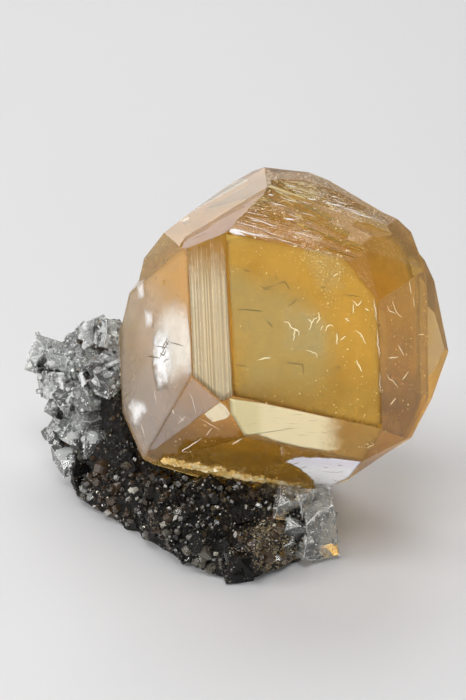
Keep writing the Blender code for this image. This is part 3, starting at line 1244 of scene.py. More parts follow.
@dataclass(frozen=True)
class BrokenTop:
    """The splintered face on top of the golden crystal, with ledges along lines of equal c + slant g.

    g runs along the edge that it shares with the broad right face, c square to it in the face, in mm.
    """

    axes: CrystalAxes
    seed: int = 23
    rise: float = 0.04
    slant: float = 0.12
    calm: float = 0.18
    roughness: float = 0.08
    grid: tuple[int, int] = (110, 180)
    g_ends: Span = (-19.0, 19.0)
    c_ends: Span = (-20.0, 8.0)
    border_lift: float = 1.5
    peak: Spot = (0.0, -6.0, 5.0)
    ribbon_steps: int = 14
    ribbon_sides: int = 6
    ribbon_half_height: float = 0.025
    wide_ribbon: float = 0.1
    left_from: float = 8.0
    clearance: float = 0.15
    shift: float = 0.25

    def placed(self, local: Array) -> Array:
        """Rows of g, c and height as places in the specimen's axes, mm."""
        plane, right = (FacePlane.of(self.axes, name) for name in ("broken top", "broad right"))
        return plane.middle + local @ np.stack([*plane.edge(right), plane.out], axis=1).T

    def height(self, g: Array, c: Array) -> Array:
        """How high the splintered surface lies above the face's plane, mm; it is always negative.

        It is -rise - size (the sum of the three sizes of ledges) - roughness n, with n smooth noise. Size
        is noise of its own that leaves flat tongues. It is full at the left end, where g is large, and
        along the ridge, where c is below -12, and goes down to calm, about a fifth, elsewhere.

        Args:
            g: places along the grain, mm.
            c: places across it, mm.

        Returns:
            One height a place.
        """
        q = c + self.slant * g
        fields = [Lattice(self.seed + k) for k in range(4)]
        where = np.maximum(np.clip((g + 1) / 10, self.calm, 1.0), np.clip((-c - 8.5) / 4, self.calm, 1.0))
        size = np.clip(2.8 * fields[3].at(g * 0.10 + 7, q * 0.30 + 3) - 1.15, 0.0, 1.0) * where
        ledges = 0.0
        for row, noise in zip(LEDGE_SIZES, fields):
            sway = row.sway * noise.at(g * row.scales[0] + LATTICE_START, q * row.scales[1] + LATTICE_START)
            ledges = ledges + row.share * np.mod(row.pitch * q + sway, 1.0) ** row.power
        return -self.rise - size * ledges - self.roughness * fields[1].at(g * 0.3, q * 0.4)

    def at(self, g: Array, c: Array, lift: object = 0.0) -> Array:
        """Points on the splintered surface, or above it by lift."""
        return self.placed(np.stack([g, c, self.height(g, c) + lift], axis=-1))

    def slab(self) -> Shape:
        """What is missing above the face: a slab whose lower side is the splintered surface.

        The outermost row of the grid is raised clear of the crystal and closed by a fan to one point.

        Returns:
            The slab's corners, mm, and triangles.
        """
        g, c = np.meshgrid(np.linspace(*self.g_ends, self.grid[0]), np.linspace(*self.c_ends, self.grid[1]),
                           indexing="ij")
        height = self.height(g, c)
        height[[0, -1], :] = self.border_lift
        height[:, [0, -1]] = self.border_lift
        k = np.arange(g.size).reshape(g.shape)
        sheet = np.stack([k[:-1, :-1], k[:-1, 1:], k[1:, 1:], k[1:, :-1]], axis=-1).reshape(-1, 4)
        loop = np.concatenate([k[0, :-1], k[:-1, -1], k[-1, :0:-1], k[:0:-1, 0]])
        fan = np.stack([np.full(len(loop), g.size), np.roll(loop, -1), loop], axis=1)
        corners = np.vstack([np.stack([g, c, height], axis=-1).reshape(-1, 3), [self.peak]])
        return self.placed(corners), np.vstack([triangles(sheet), fan])

    def streaks(self, count: int, rows: list[tuple[float, float, float, float]]) -> Shape:
        """Thin ribbons that lie on the splintered surface along its ledges.

        A ribbon of length l and half-width w follows c = c0 - slant (g - g0) + a bow and a slight wobble;
        its cross-section is a flat oval of half-width w sin(pi t^1.4)^0.8. The wide ones near the left end
        are moved in until they clear the border. Ribbons that would leave the face are left out.

        Args:
            count: how many ribbons are scattered at random.
            rows: further ribbons as g0, c0, length and half-width.

        Returns:
            Their corners, mm, and triangles.
        """
        rng = np.random.default_rng(self.seed + 5)
        strewn = np.stack([rng.uniform(-13.0, 12.5, count), 3.5 - 20.0 * rng.random(count) ** 0.9,
                           rng.uniform(0.4, 2.6, count), rng.uniform(0.02, 0.08, count)], axis=1)
        hull = Hull.of(self.axes)
        around = np.linspace(0.0, 2 * math.pi, self.ribbon_sides, endpoint=False)
        t = np.linspace(0.0, 1.0, self.ribbon_steps + 2)
        shapes = []
        for g0, c0, length, half in np.vstack([strewn, np.array(rows)]):
            if half >= self.wide_ribbon and g0 > self.left_from:
                tips = self.at(g0 + np.array([-0.5, 0.5]) * length, np.full(2, c0))
                g0 -= self.shift * np.ceil(max(0.0, self.clearance - hull.depth(tips).min()) / self.shift)
            g = g0 + (t - 0.5) * length
            bow = rng.normal(0, 0.25) * (t - 0.5) ** 2 * length
            c = c0 - self.slant * (g - g0) + bow + 0.04 * rng.normal(size=len(t)).cumsum()
            if hull.depth(self.at(g, c)).min() < 0.0:
                continue
            wide = half * np.sin(math.pi * t[1:-1] ** 1.4) ** 0.8
            ring_c = c[1:-1, None] + wide[:, None] * np.cos(around)
            ring_g = np.repeat(g[1:-1, None], self.ribbon_sides, axis=1)
            rings = self.at(ring_g, ring_c, self.ribbon_half_height * np.sin(around)[None, :])
            shapes.append(closed_strip(rings, self.at(g[[0, -1]], c[[0, -1]])))
        return joined_shapes(shapes)


@dataclass(frozen=True)
class Bite:
    """A box that bites into a face.

    It has its middle across and up the face, its heading in degrees, its length and width and how deep
    it bites, in mm.
    """

    face: str
    across: float
    up: float
    heading: float
    length: float
    width: float
    depth: float


# three thin layers along the upper left rim, then chips beside it
BITES = (Bite("long upper bevel", -8.6, -5.2, -49, 13.5, 3.0, 0.16),
         Bite("long upper bevel", -9.0, -5.6, -48, 12.5, 3.0, 0.42),
         Bite("long upper bevel", -9.5, -6.0, -50, 11.0, 3.0, 0.80),
         Bite("long upper bevel", -4.0, -8.0, 20, 1.5, 1.1, 1.2),
         Bite("broad left", -6.0, 5.5, 24, 1.7, 0.9, 0.45), Bite("broad left", -9.5, 5.0, 60, 0.9, 0.5, 0.3))
BITE_HEIGHT = 1.5


@dataclass
class GoldenCrystal:
    """The honey-coloured twin."""

    axes: CrystalAxes
    edge_width: float = 0.10
    least_edge: float = 2.2
    seed: int = 23
    stripes: int = 44
    stripe_places: Span = (-6.1, 0.3)
    stripe_widths: Span = (0.08, 0.42)
    stripe_tilts: Span = (0.10, 0.30)
    stripe_lengths: Span = (25.0, 34.0)
    left_share: float = 0.3
    extra_bite: Span = (-0.004, 0.012)
    bite_share: float = 0.6
    same_face: float = 0.998
    splinter_way: float = 0.75
    stripe_reach: float = 0.3
    splinter_reach: float = 2.6
    backward: float = -0.15
    downward: float = -0.75

    def build(self, node: Piece) -> Piece:
        """The crystal's body, from the frame's solid.

        Args:
            node: the frame's golden part.

        Returns:
            The piece.
        """
        body = merged_copy(node, "golden_crystal")
        carve(body, [BrokenTop(self.axes).slab(), self.striations(), self.ledges()])
        soften_edges(body, self.edge_width, self.least_edge)
        self.mark_faces(body)
        body.data.materials.clear()
        body.data.materials.append(HoneyGlass(self.axes).material())
        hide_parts("golden_calcite")
        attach(body, "root")
        return body

    def striations(self) -> Shape:
        """Long shallow wedges that leave fine steps along the striped strip.

        Each is a box of height 1 mm as long as the strip, turned a few degrees about its length so that
        one lower edge bites in by a few hundredths of a millimetre.

        Returns:
            The boxes' corners, mm, and faces.
        """
        rng = np.random.default_rng(self.seed + 9)
        plane, n = FacePlane.of(self.axes, "striped strip"), self.stripes
        along, across = plane.edge(FacePlane.of(self.axes, "broad right"))
        where = np.sort(rng.uniform(*self.stripe_places, n))
        wide = rng.uniform(*self.stripe_widths, n)
        leans = [self.left_share, 1 - self.left_share]
        tilt = rng.uniform(*self.stripe_tilts, n) * rng.choice([-1, 1], n, p=leans)
        bite = np.abs(np.sin(tilt)) * wide / 2 + rng.uniform(*self.extra_bite, n)
        out = np.cos(tilt)[:, None] * plane.out + np.sin(tilt)[:, None] * across
        side = np.cos(tilt)[:, None] * across - np.sin(tilt)[:, None] * plane.out
        turns = np.stack([side, np.broadcast_to(along, (n, 3)), out], axis=2)
        spots = (plane.middle + where[:, None] * across + (bite[:, None] * -self.bite_share) * plane.out
                 + 0.5 * out)
        sizes = np.stack([wide, rng.uniform(*self.stripe_lengths, n), np.ones(n)], axis=1)
        return copies(BOX, spots, turns, sizes)

    def ledges(self) -> Shape:
        """Boxes that leave thin layers along the upper left rim, and small chips beside it.

        Returns:
            The boxes' corners, mm, and faces.
        """
        spots, turns = [], []
        for bite in BITES:
            plane, t = FacePlane.of(self.axes, bite.face), math.radians(bite.heading)
            run = math.cos(t) * plane.across + math.sin(t) * plane.up
            spots.append(plane.at(np.array([[bite.across, bite.up]]), bite.depth - BITE_HEIGHT / 2)[0])
            turns.append(np.stack([run, np.cross(plane.out, run), plane.out], axis=1))
        sizes = np.array([(bite.length, bite.width, BITE_HEIGHT) for bite in BITES])
        return copies(BOX, np.array(spots), np.array(turns), sizes)

    def mark_faces(self, body: Piece) -> None:
        """Tell the finish which faces are striped, broken, frosted or dull.

        A face is striped where it lies on the strip's plane, broken near the broken top's plane, frosted
        where it looks away from the long axis or down, and dull on the broad left face and the small corner.

        Args:
            body: the crystal's body.
        """
        mesh, count = body.data, len(body.data.polygons)
        normals, middles = np.empty(count * 3, np.float32), np.empty(count * 3, np.float32)
        mesh.polygons.foreach_get("normal", normals)
        mesh.polygons.foreach_get("center", middles)
        normals, middles = normals.reshape(-1, 3), middles.reshape(-1, 3) / MM - np.array(self.axes.centre)
        names = ("striped strip", "broken top", "broad left", "small corner")
        rows = np.array([FRONT_FACES[name] for name in names], float)
        facing = normals @ self.axes.normals(rows).T
        reach = np.abs(middles @ self.axes.normals(rows).T - rows[:, 2])
        forward = normals @ (self.axes.turn() @ np.array([0.0, -1.0, 0.0]))
        broken = (facing[:, 1] > self.splinter_way) & (reach[:, 1] < self.splinter_reach)
        masks = {"striped": (facing[:, 0] > self.same_face) & (reach[:, 0] < self.stripe_reach),
                 "broken": broken,
                 "frosted": ((forward < self.backward) | (normals[:, 2] < self.downward)) & ~broken,
                 "dull": (facing[:, 2:] > self.same_face).any(1)}
        for key, mask in masks.items():
            mesh.attributes.new(key, "FLOAT", "FACE").data.foreach_set("value", mask.astype(np.float32))


@dataclass(frozen=True)
class Veil:
    """A thin closed lens at one of the golden crystal's faces.

    It fills the outline that bears its name, as far as that lies on the face, or else the whole face.
    """

    name: str
    face: str
    depth: float
    film: Film
    thick: float = 0.02
    bend: float = 0.0
    inset: float = 0.05
    columns: int = 96
    steps: int = 10
    rim_margins: Span = (0.3, 0.8)
    rim_firmness: Span = (0.55, 1.0)
    smoothing: int = 4

    def build(self, axes: CrystalAxes, view: PhotoView) -> Piece:
        """Make the lens.

        The outline is walked in even steps; ring r of it is middle + r (outline - middle), and the two
        sides stand off by half the thickness times 1 - r^4. A bend lifts it by bend r^2 cos(2 f). The rim
        value is r times a firmness that is less near the face's own border, averaged over near columns.

        Args:
            axes: the golden crystal's axes.
            view: the photograph's view.

        Returns:
            The piece.
        """
        plane, hull = FacePlane.of(axes, self.face), Hull.of(axes)
        if self.name in FILM_PIXELS:
            corners = hull.within(plane, view.on_face(plane, FILM_PIXELS[self.name]), self.inset)
        else:
            corners = hull.outline(plane, self.inset)
        path = Path(np.vstack([corners, corners[:1]]))
        edge = path.at(np.linspace(0.0, path.runs()[-1], self.columns, endpoint=False))
        middle = edge.mean(0)
        s = np.linspace(-1.0, 1.0, 2 * self.steps + 1)[1:-1]
        r = 1.0 - np.abs(s)
        flat = middle + r[:, None, None] * (edge - middle)[None]
        angle = np.linspace(0.0, 2 * math.pi, self.columns, endpoint=False)
        half = self.thick / 2
        lift = (np.sign(s) * half * (1 - r ** 4))[:, None] + self.bend * r[:, None] ** 2 * np.cos(2 * angle)
        rings = plane.at(flat.reshape(-1, 2), self.depth - lift.reshape(-1)).reshape(len(s), self.columns, 3)
        ends = plane.at(np.stack([middle, middle]), self.depth - np.array([-1, 1]) * half)
        points, faces = closed_strip(rings, ends)
        firm = np.interp(hull.margin(plane, edge), self.rim_margins, self.rim_firmness)
        near = range(-self.smoothing, self.smoothing + 1)
        firm = sum(np.roll(firm, k) for k in near) / len(near)
        rim = np.concatenate([(r[:, None] * firm).ravel(), [0.0, 0.0]])
        piece = mesh_object(self.name, points * MM, faces, self.film.material(self.name), {"rim": rim}, True)
        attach(piece, "root")
        return piece


Track = tuple[Span, ...]
Tracks = dict[str, tuple[Track, ...]]

# open cracks as read on the photograph: the face, then each crack's corners in pixels
BRIGHT_PIXELS: Tracks = {
    "broad right": (
        ((283, 321), (289.5, 322.5), (291, 328), (299, 331), (299, 337)),
        ((299, 331), (294.5, 330), (293.5, 342)), ((309, 331), (312, 323), (313, 320), (318, 317)),
        ((312, 323), (308, 319)), ((320, 331), (323, 325)),
        ((304.5, 349.5), (310, 351), (316.5, 354), (317, 359)),
        ((258, 360), (263, 358.5), (271.5, 357.5)),
        ((325.5, 331.5), (327, 326), (331, 325), (333.5, 326.5)), ((318, 312), (320, 318), (316, 324)),
        ((364.5, 308.5), (369.5, 311)), ((333, 276.5), (338.5, 273.5)), ((337, 333), (337, 345)),
        ((353, 304), (353.5, 313.5)), ((352, 300), (358, 306), (362, 300)),
        ((355, 330), (362, 335), (366, 345)), ((345, 318), (350, 322)), ((356, 360), (362, 372)),
        ((340, 340), (346, 336))),
    "right side": (
        ((388, 358.5), (393.5, 357.5), (398.5, 357)),
        ((387, 373.5), (388.5, 378.5), (394.5, 382.5), (398, 388.5)),
        ((387, 305), (389, 311), (395.5, 313.5)), ((392, 300), (396, 312), (402, 318)),
        ((398, 345), (404, 356)), ((402, 380), (408, 372)), ((390, 405), (396, 398)),
        ((409, 279), (410, 288), (411, 294)), ((413, 297), (414.5, 307)), ((418, 335), (424, 334))),
}
WHITE_PIXELS: Tracks = {
    "broad right": (
        ((374, 298), (377, 323)), ((377, 327), (378, 345), (381, 368)),
        ((380, 371), (380, 393), (384, 418))),
    "broad left": (
        ((154, 390), (156.5, 405)), ((133, 358), (134, 375)), ((174, 414), (179, 425)),
        ((141, 423), (145, 438))),
    "small corner": (
        ((188, 391), (192, 398), (196, 415)), ((178, 424), (186, 416)), ((178, 415), (184, 422))),
    "lower left strip": (
        ((197, 417), (208, 423), (221, 431)), ((203, 437.5), (181, 452), (191, 457.5)),
        ((226, 449), (232, 445)), ((172, 459), (182, 464)), ((212, 428), (206, 436))),
}
DARK_PIXELS: Tracks = {
    "broad right": (
        ((236, 308.5), (250, 310.5), (263.5, 311.5)), ((267, 321), (273, 327.5)),
        ((235, 364.5), (247, 366.5)), ((243.5, 270), (250.5, 271.5)),
        ((258, 285), (266, 288), (277, 284)), ((275.5, 275), (277, 280)),
        ((277, 283.5), (284.5, 281.5), (290.5, 290)), ((288, 306.5), (297, 299)),
        ((320, 286.5), (326, 287.5)), ((343.5, 295), (360.5, 296.5)), ((335.5, 366.5), (341, 368)),
        ((285, 362), (303, 365), (304, 375)), ((262, 289), (272, 289))),
    "broad lower": (
        ((320, 471), (332, 472), (344, 472)), ((331, 479), (338, 481), (345, 481)),
        ((318, 484), (324, 485)), ((288, 463), (294, 464), (300, 462)), ((300, 468), (308, 466)),
        ((323, 467), (329, 467.5)), ((337, 465), (343, 465))),
    "broad left": (((122, 401), (131, 391)),),
}
STAR_PIXELS: Tracks = {
    "broad left": (
        ((148, 356), (160, 358)), ((159, 360), (164, 350), (170, 340)), ((156, 346), (170, 348)),
        ((162, 350), (168, 338)), ((163, 362), (170, 358)), ((170, 342), (184, 346)),
        ((160, 352), (164, 356), (167, 349)), ((166, 341), (169, 345))),
}

# outlines of the films that cover only a part of their face, read in the same way
FILM_PIXELS: dict[str, Track] = {
    "stripe_painted_sheen": ((186, 247), (224, 235), (232.5, 396), (222, 403), (192, 377)),
    "left_glare_halo": (
        (149, 352), (153, 322), (162, 300), (176, 292), (187, 300), (191, 340), (193, 374), (178, 388),
        (158, 396)),
    "left_glare": (
        (153, 336), (159, 326), (168, 328), (175, 346), (174, 366), (168, 388), (156, 392), (152, 364)),
    "left_glare_low": ((127, 405), (134, 396), (145, 399), (149, 410), (140, 428), (130, 425)),
    "left_glare_high": ((134, 282), (144, 281), (145, 298), (137, 301)),
    "left_glare_mid": ((144, 308), (153, 309), (154, 328), (146, 330)),
    "lower_band_painted_reflection": (
        (225, 396), (262, 403), (300, 411), (341, 420), (379, 428), (366, 452), (345, 450.5),
        (330, 451.5), (300, 447), (275, 441), (258, 435), (248, 430), (240, 437), (229, 412)),
    "reflected_white_film": (
        (284, 461), (299.5, 455.5), (329, 457.5), (362, 461.5), (352, 478), (338, 491.5), (317, 492),
        (311.5, 480), (299, 468)),
    "band_corner_film": ((198, 415), (218, 392), (236, 394), (242, 418), (227, 419), (212, 423)),
    "haze_upper": ((300, 243), (322, 248), (345, 262), (350, 290), (332, 308), (314, 287), (302, 262)),
    "haze_middle": (
        (228, 264), (284, 262), (310, 284), (338, 310), (350, 337), (348, 379), (329, 414), (287, 404),
        (238, 394)),
    "right_cloud": ((373, 300), (416, 290), (424, 330), (424, 405), (396, 425)),
}

# patches of flecks on the broad right face: the middle's pixel, the spread in mm and the number
FLECK_PIXELS = (((318, 252), 0.9, 90), ((324, 268), 1.1, 80), ((329, 303), 0.6, 40),
                ((340, 270), 1.0, 50), ((303, 251), 1.0, 50), ((329, 286), 0.9, 40))
# the pixel of one more patch, on the lower right strip, and those of the scaly rim's line
CORNER_FLECK_PIXEL = (374, 446)
RIM_PIXELS: Track = ((164, 462), (190, 466.5), (214, 472), (239, 477.5), (264, 482), (289, 486.5),
                     (310, 489.5))

# the large ribbons on the broken top: their places along and across the grain, lengths and half-widths, mm
RIBBONS = ((10.5, 2.5, 3.5, 0.14), (9.5, 0.0, 5.0, 0.10), (9.0, 2.5, 5.0, 0.10), (3.5, -4.0, 2.0, 0.26),
           (7.0, -10.5, 1.5, 0.22), (6.0, -10.0, 1.0, 0.16), (-6.0, 3.0, 2.0, 0.20), (-10.0, -6.5, 4.0, 0.12),
           (-8.5, -9.0, 4.5, 0.14), (-5.0, -11.0, 4.0, 0.12), (-10.5, -5.0, 3.0, 0.12),
           (-2.0, -12.0, 4.0, 0.14), (-3.5, -11.0, 3.0, 0.10), (-7.0, -10.0, 3.5, 0.10),
           (4.0, 2.5, 4.5, 0.08), (1.0, 0.0, 4.5, 0.08), (6.0, 1.0, 4.0, 0.08), (7.5, -1.5, 4.5, 0.08),
           (8.5, -3.5, 3.5, 0.08), (5.0, -7.5, 3.0, 0.08), (3.0, -9.5, 3.5, 0.08))


@dataclass
class Inclusions:
    """What is seen inside the golden crystal and on its faces: veils, open cracks and flecks, with painted
    glare, sheen, reflections and glints among them.
    """

    axes: CrystalAxes
    view: PhotoView = field(default_factory=PhotoView)
    seed: int = 8
    crack_steps: int = 10
    crack_sides: int = 8
    crack_inset: float = 0.15
    crack_wobble: float = 0.04
    fleck_depth: float = 0.03
    fleck_size: float = 0.045
    fleck_lean: float = 0.35
    ribbons: int = 64
    small_scales: int = 760
    large_scales: int = 34
    scale_lean: float = 0.40

    def veils(self) -> list[Veil]:
        """The films at the faces, each with its face, depth in mm and finish.

        Returns:
            The films in the order in which they are built.
        """
        white, cream = (0.95, 0.94, 0.93), (0.95, 0.83, 0.52)
        reflected_white, rose, olive = (0.98, 0.97, 0.98), (0.88, 0.54, 0.20), (0.44, 0.33, 0.09)
        names = ("broad right", "striped strip", "broad left", "broad lower", "lower right strip", "seam")
        broad, strip, left, low, band, seam = (FacePlane.of(self.axes, name) for name in names)
        along, square = strip.edge(broad)
        across, _ = strip.course(square)
        upward, high = strip.course(-along)
        rightward, side = band.course(band.across)
        left_up, left_high = left.course(left.up)
        low_down, low_start = low.course(-low.up)
        broad_down, broad_start = broad.course(-broad.up)
        seam_down, seam_start = seam.course(-seam.up)
        # painted glare: white films just outside the broad left face, where a lamp's reflection shows
        glares = (("left_glare", 0.92), ("left_glare_low", 0.62), ("left_glare_high", 0.42),
                  ("left_glare_mid", 0.5))
        return [
            # painted sheen: cream lines that follow the strip's real striations and stand in for light
            # reflected inside it
            Veil("stripe_painted_sheen", "striped strip", 0.22,
                 Film((0.98, 0.91, 0.70), 0.80, Pattern.STRIPED, across, (upward, high + 4.0, high + 13.0))),
            # painted glare: a soft pale halo round the glare on the broad left face
            Veil("left_glare_halo", "broad left", -0.035, Film((0.95, 0.92, 0.84), 0.50, Pattern.HAZE)),
            *(Veil(name, "broad left", -0.06, Film(white, cover, Pattern.GLARE)) for name, cover in glares),
            # painted sheen: a grey wash over the broad left face, turning rose towards its top
            Veil("left_painted_sheen", "broad left", -0.02,
                 Film((0.58, 0.53, 0.49), 0.22, Pattern.WASH,
                      tone=(left_up, left_high - 2.0, left_high + 8.0, rose))),
            Veil("corner_film", "small corner", -0.02, Film((0.46, 0.43, 0.42), 0.24, Pattern.WASH)),
            # painted reflection: the cream band on the lower right strip
            Veil("lower_band_painted_reflection", "lower right strip", -0.03,
                 Film((0.82, 0.72, 0.40), 0.72, Pattern.TORN, fade=(rightward, side + 5.0, side + 9.0),
                      tone=(rightward, side - 4.3, side - 2.7, cream))),
            Veil("band_haze", "lower right strip", 0.3, Film((1.0, 0.66, 0.12), 0.30, Pattern.WASH)),
            # painted reflection: the silvery white patch on the broad lower face
            Veil("reflected_white_film", "broad lower", -0.03,
                 Film((0.84, 0.81, 0.88), 1.0, Pattern.TORN, roughness=0.3,
                      tone=(low_down, low_start + 2.0, low_start + 6.0, reflected_white))),
            Veil("shadow_film", "broad lower", 0.8, Film((0.44, 0.28, 0.06), 0.34, Pattern.WASH)),
            Veil("band_corner_film", "lower left strip", -0.03, Film((0.98, 0.92, 0.70), 0.50, Pattern.EVEN)),
            Veil("glow_film", "broad right", -0.01, Film((0.98, 0.62, 0.12), 0.18, Pattern.WASH)),
            Veil("haze_upper", "broad right", 0.5, Film((1.0, 0.90, 0.62), 0.34, Pattern.GLARE)),
            Veil("haze_middle", "broad right", -0.03,
                 Film((0.50, 0.43, 0.17), 0.30, Pattern.HAZE,
                      fade=(broad_down, broad_start + 5.0, broad_start + 15.0))),
            Veil("right_glow", "right side", 0.25, Film((1.0, 0.55, 0.05), 0.18, Pattern.WASH)),
            Veil("right_cloud", "right side", 3.0, Film((0.80, 0.50, 0.12), 0.45, Pattern.CLOUD), bend=0.4),
            Veil("seam_film", "seam", 0.5,
                 Film((0.88, 0.74, 0.40), 0.70, Pattern.WASH,
                      tone=(seam_down, seam_start + 1.0, seam_start + 10.0, olive))),
        ]

    def cracks(self, name: str, tracks: Tracks, half_width: float, depth: float,
               fill: CrackFill) -> Piece:
        """Small open cracks along tracks on the faces.

        A track is walked in even steps with a little sideways wobble; its walls are a flat oval whose
        half-width is w = half_width (0.4 + 0.6 sin(pi t)) r and whose half-depth is 0.6 w, where r is
        drawn anew for each crack.

        Args:
            name: the piece's name.
            tracks: corners of the tracks by face, in pixels of the photograph.
            half_width: the widest half-width, mm.
            depth: how deep the middle lies, mm.
            fill: the filling.

        Returns:
            The piece.
        """
        rng = np.random.default_rng(self.seed)
        hull, ends = Hull.of(self.axes), self.crack_steps + 2
        t = np.linspace(0.0, 1.0, ends)[1:-1]
        turn = np.linspace(0.0, 2 * math.pi, self.crack_sides, endpoint=False)
        shapes = []
        for face, row in ((face, row) for face, rows in tracks.items() for row in rows):
            plane = FacePlane.of(self.axes, face)
            path = Path(hull.within(plane, self.view.on_face(plane, row), self.crack_inset))
            line = path.at(np.linspace(0.0, path.runs()[-1], ends))
            line[1:-1] += rng.normal(0, self.crack_wobble, (self.crack_steps, 2))
            heading = np.gradient(line, axis=0)
            level = unit(np.stack([-heading[:, 1], heading[:, 0]], 1))[1:-1]
            wide = half_width * rng.uniform(0.7, 1.2) * (0.4 + 0.6 * np.sin(math.pi * t))
            flat = line[1:-1, None, :] + (wide[:, None] * np.cos(turn))[..., None] * level[:, None, :]
            sink = depth + 0.6 * wide[:, None] * np.sin(turn)
            rings = plane.at(flat.reshape(-1, 2), sink.reshape(-1)).reshape(*sink.shape, 3)
            shapes.append(closed_strip(rings, plane.at(line[[0, -1]], depth)))
        return self.dressed(name, joined_shapes(shapes), fill.material(name))

    def flecks(self) -> Piece:
        """Tiny bright flecks, thickest towards the right of the crystal and near its broken top.

        Returns:
            The piece.
        """
        rng, shallow = np.random.default_rng(self.seed + 1), self.fleck_depth
        names = ("broad right", "right side", "lower left strip", "lower right strip")
        broad, side, corner, band = (FacePlane.of(self.axes, name) for name in names)
        front, beside, below, above, last = 640, 260, 90, 260, 60
        u = 14.0 - 24.0 * rng.random(front) ** 1.8
        v = 14.0 - 29.0 * rng.random(front) ** 1.25
        parts = [broad.at(np.stack([u, v], 1), shallow + 0.9 * rng.random(front) ** 3),
                 side.at(rng.uniform((-7, -16), (13, 13), (beside, 2)),
                         shallow + 0.9 * rng.random(beside) ** 3),
                 corner.at(rng.uniform((-12, -9), (6, 3), (below, 2)), shallow),
                 BrokenTop(self.axes).at(rng.uniform(-14, 10, above), rng.uniform(-17, 4, above), 0.02)]
        for middle, spread, count in FLECK_PIXELS:
            around = rng.normal(0, spread, (count, 2)) + self.view.on_face(broad, [middle])
            parts.append(broad.at(around, shallow + 0.5 * rng.random(count) ** 2))
        around = rng.normal(0, 0.45, (last, 2)) * (1.6, 0.8) + self.view.on_face(band, [CORNER_FLECK_PIXEL])
        spots = np.vstack([*parts, band.at(around, shallow)])
        spots = spots[Hull.of(self.axes).depth(spots) > 0.02]
        n = len(spots)
        size = self.fleck_size + 0.10 * rng.random((n, 1)) ** 3
        sizes = np.hstack([size * rng.uniform(0.6, 1.5, (n, 1)), size, np.full((n, 1), self.fleck_size)])
        turns = leaning_turns(rng, np.tile(broad.out, (n, 1)), self.fleck_lean)
        return self.dressed("flecks", copies(Habit(1.0, 0.2).shape(), spots, turns, sizes),
                            CrackFill((1.0, 0.91, 0.56)).material("flecks"))

    def splinter_glints(self) -> Piece:
        """Painted glints on the broken top: pale ribbons on its splinters, scattered and large ones, and a
        bright patch at its left end.

        Returns:
            The piece.
        """
        # painted glint: a bright patch of wide ribbons at the broken top's left end
        patch = [(12.4 - 0.15 * k, 3.0 - 0.7 * k, 2.6, 0.40 - 0.02 * k) for k in range(6)]
        shape = BrokenTop(self.axes).streaks(self.ribbons, [*patch, *RIBBONS])
        name = "splinter_glints"
        return self.dressed(name, shape, CrackFill((0.98, 0.95, 0.92), 0.25).material(name))

    def rim_scales(self) -> Piece:
        """Amber and pale scales along the crystal's lower edge, where it grew against the rock.

        They follow a line on the broad lower face, spread to both sides of it: many small ones and some
        long pale ones. Each has its long side turned towards the way in which the line runs.

        Returns:
            The piece.
        """
        rng = np.random.default_rng(self.seed + 2)
        plane = FacePlane.of(self.axes, "broad lower")
        path = Path(self.view.on_face(plane, RIM_PIXELS))
        few, many = self.large_scales, self.small_scales
        n, end = many + few, path.runs()[-1]
        small = np.arange(n) < many
        line = path.at(np.concatenate([rng.uniform(0.0, end, many), rng.uniform(4.0, end - 1.0, few)]))
        line[:, 1] += np.where(small, np.abs(rng.normal(-0.2, 0.9, n)) - 0.2, rng.uniform(-0.1, 1.5, n))
        size = np.concatenate([rng.uniform(0.12, 0.42, many), rng.uniform(0.34, 0.62, few)])
        spots = plane.at(line, rng.uniform(-0.16, 0.06, n))
        outward = unit(plane.out + np.array([0.0, -0.7, 0.9]))
        up = leaning_turns(rng, np.tile(outward, (n, 1)), self.scale_lean)[:, :, 2]
        length = np.where(small, rng.uniform(0.8, 1.6, n), rng.uniform(1.6, 2.8, n))
        way = plane.across * 0.95 + plane.up * -0.3
        side = unit(way - np.sum(way * up, axis=1)[:, None] * up)
        turns = np.stack([side, np.cross(up, side), up], axis=2)
        sizes = np.stack([size * length, size * 0.8, size * 0.5], axis=1)
        shade = np.where(small, rng.random(n) * 0.75, rng.uniform(0.7, 1.0, n))
        habit = Habit(1.0, 0.5).shape()
        return self.dressed("rim_scales", copies(habit, spots, turns, sizes), RIM_GLASS.material(),
                            {"shade": np.repeat(shade, len(habit[0]))})

    @staticmethod
    def dressed(name: str, shape: Shape, material: Material,
                numbers: dict[str, Array] | None = None) -> Piece:
        """A piece that rides on the specimen.

        Args:
            name: its name.
            shape: its corners, mm, and faces.
            material: its finish.
            numbers: values carried by the corners, by name.

        Returns:
            The piece.
        """
        piece = mesh_object(name, shape[0] * MM, shape[1], material, numbers)
        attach(piece, "root")
        return piece

    def build(self) -> None:
        """Make them all."""
        pieces = [veil.build(self.axes, self.view) for veil in self.veils()]
        pieces += [self.cracks("bright_cracks", BRIGHT_PIXELS, 0.085, -0.02, CrackFill()),
                   self.cracks("white_cracks", WHITE_PIXELS, 0.085, 0.035, CrackFill((0.98, 0.93, 0.84))),
                   self.cracks("dark_cracks", DARK_PIXELS, 0.085, -0.02, CrackFill((0.20, 0.15, 0.04))),
                   self.cracks("star_crack", STAR_PIXELS, 0.075, -0.095, CrackFill((0.12, 0.09, 0.04))),
                   self.flecks(), self.splinter_glints(), self.rim_scales()]
        for piece in pieces:
            LOG.info("%s: %d faces", piece.name, len(piece.data.polygons))


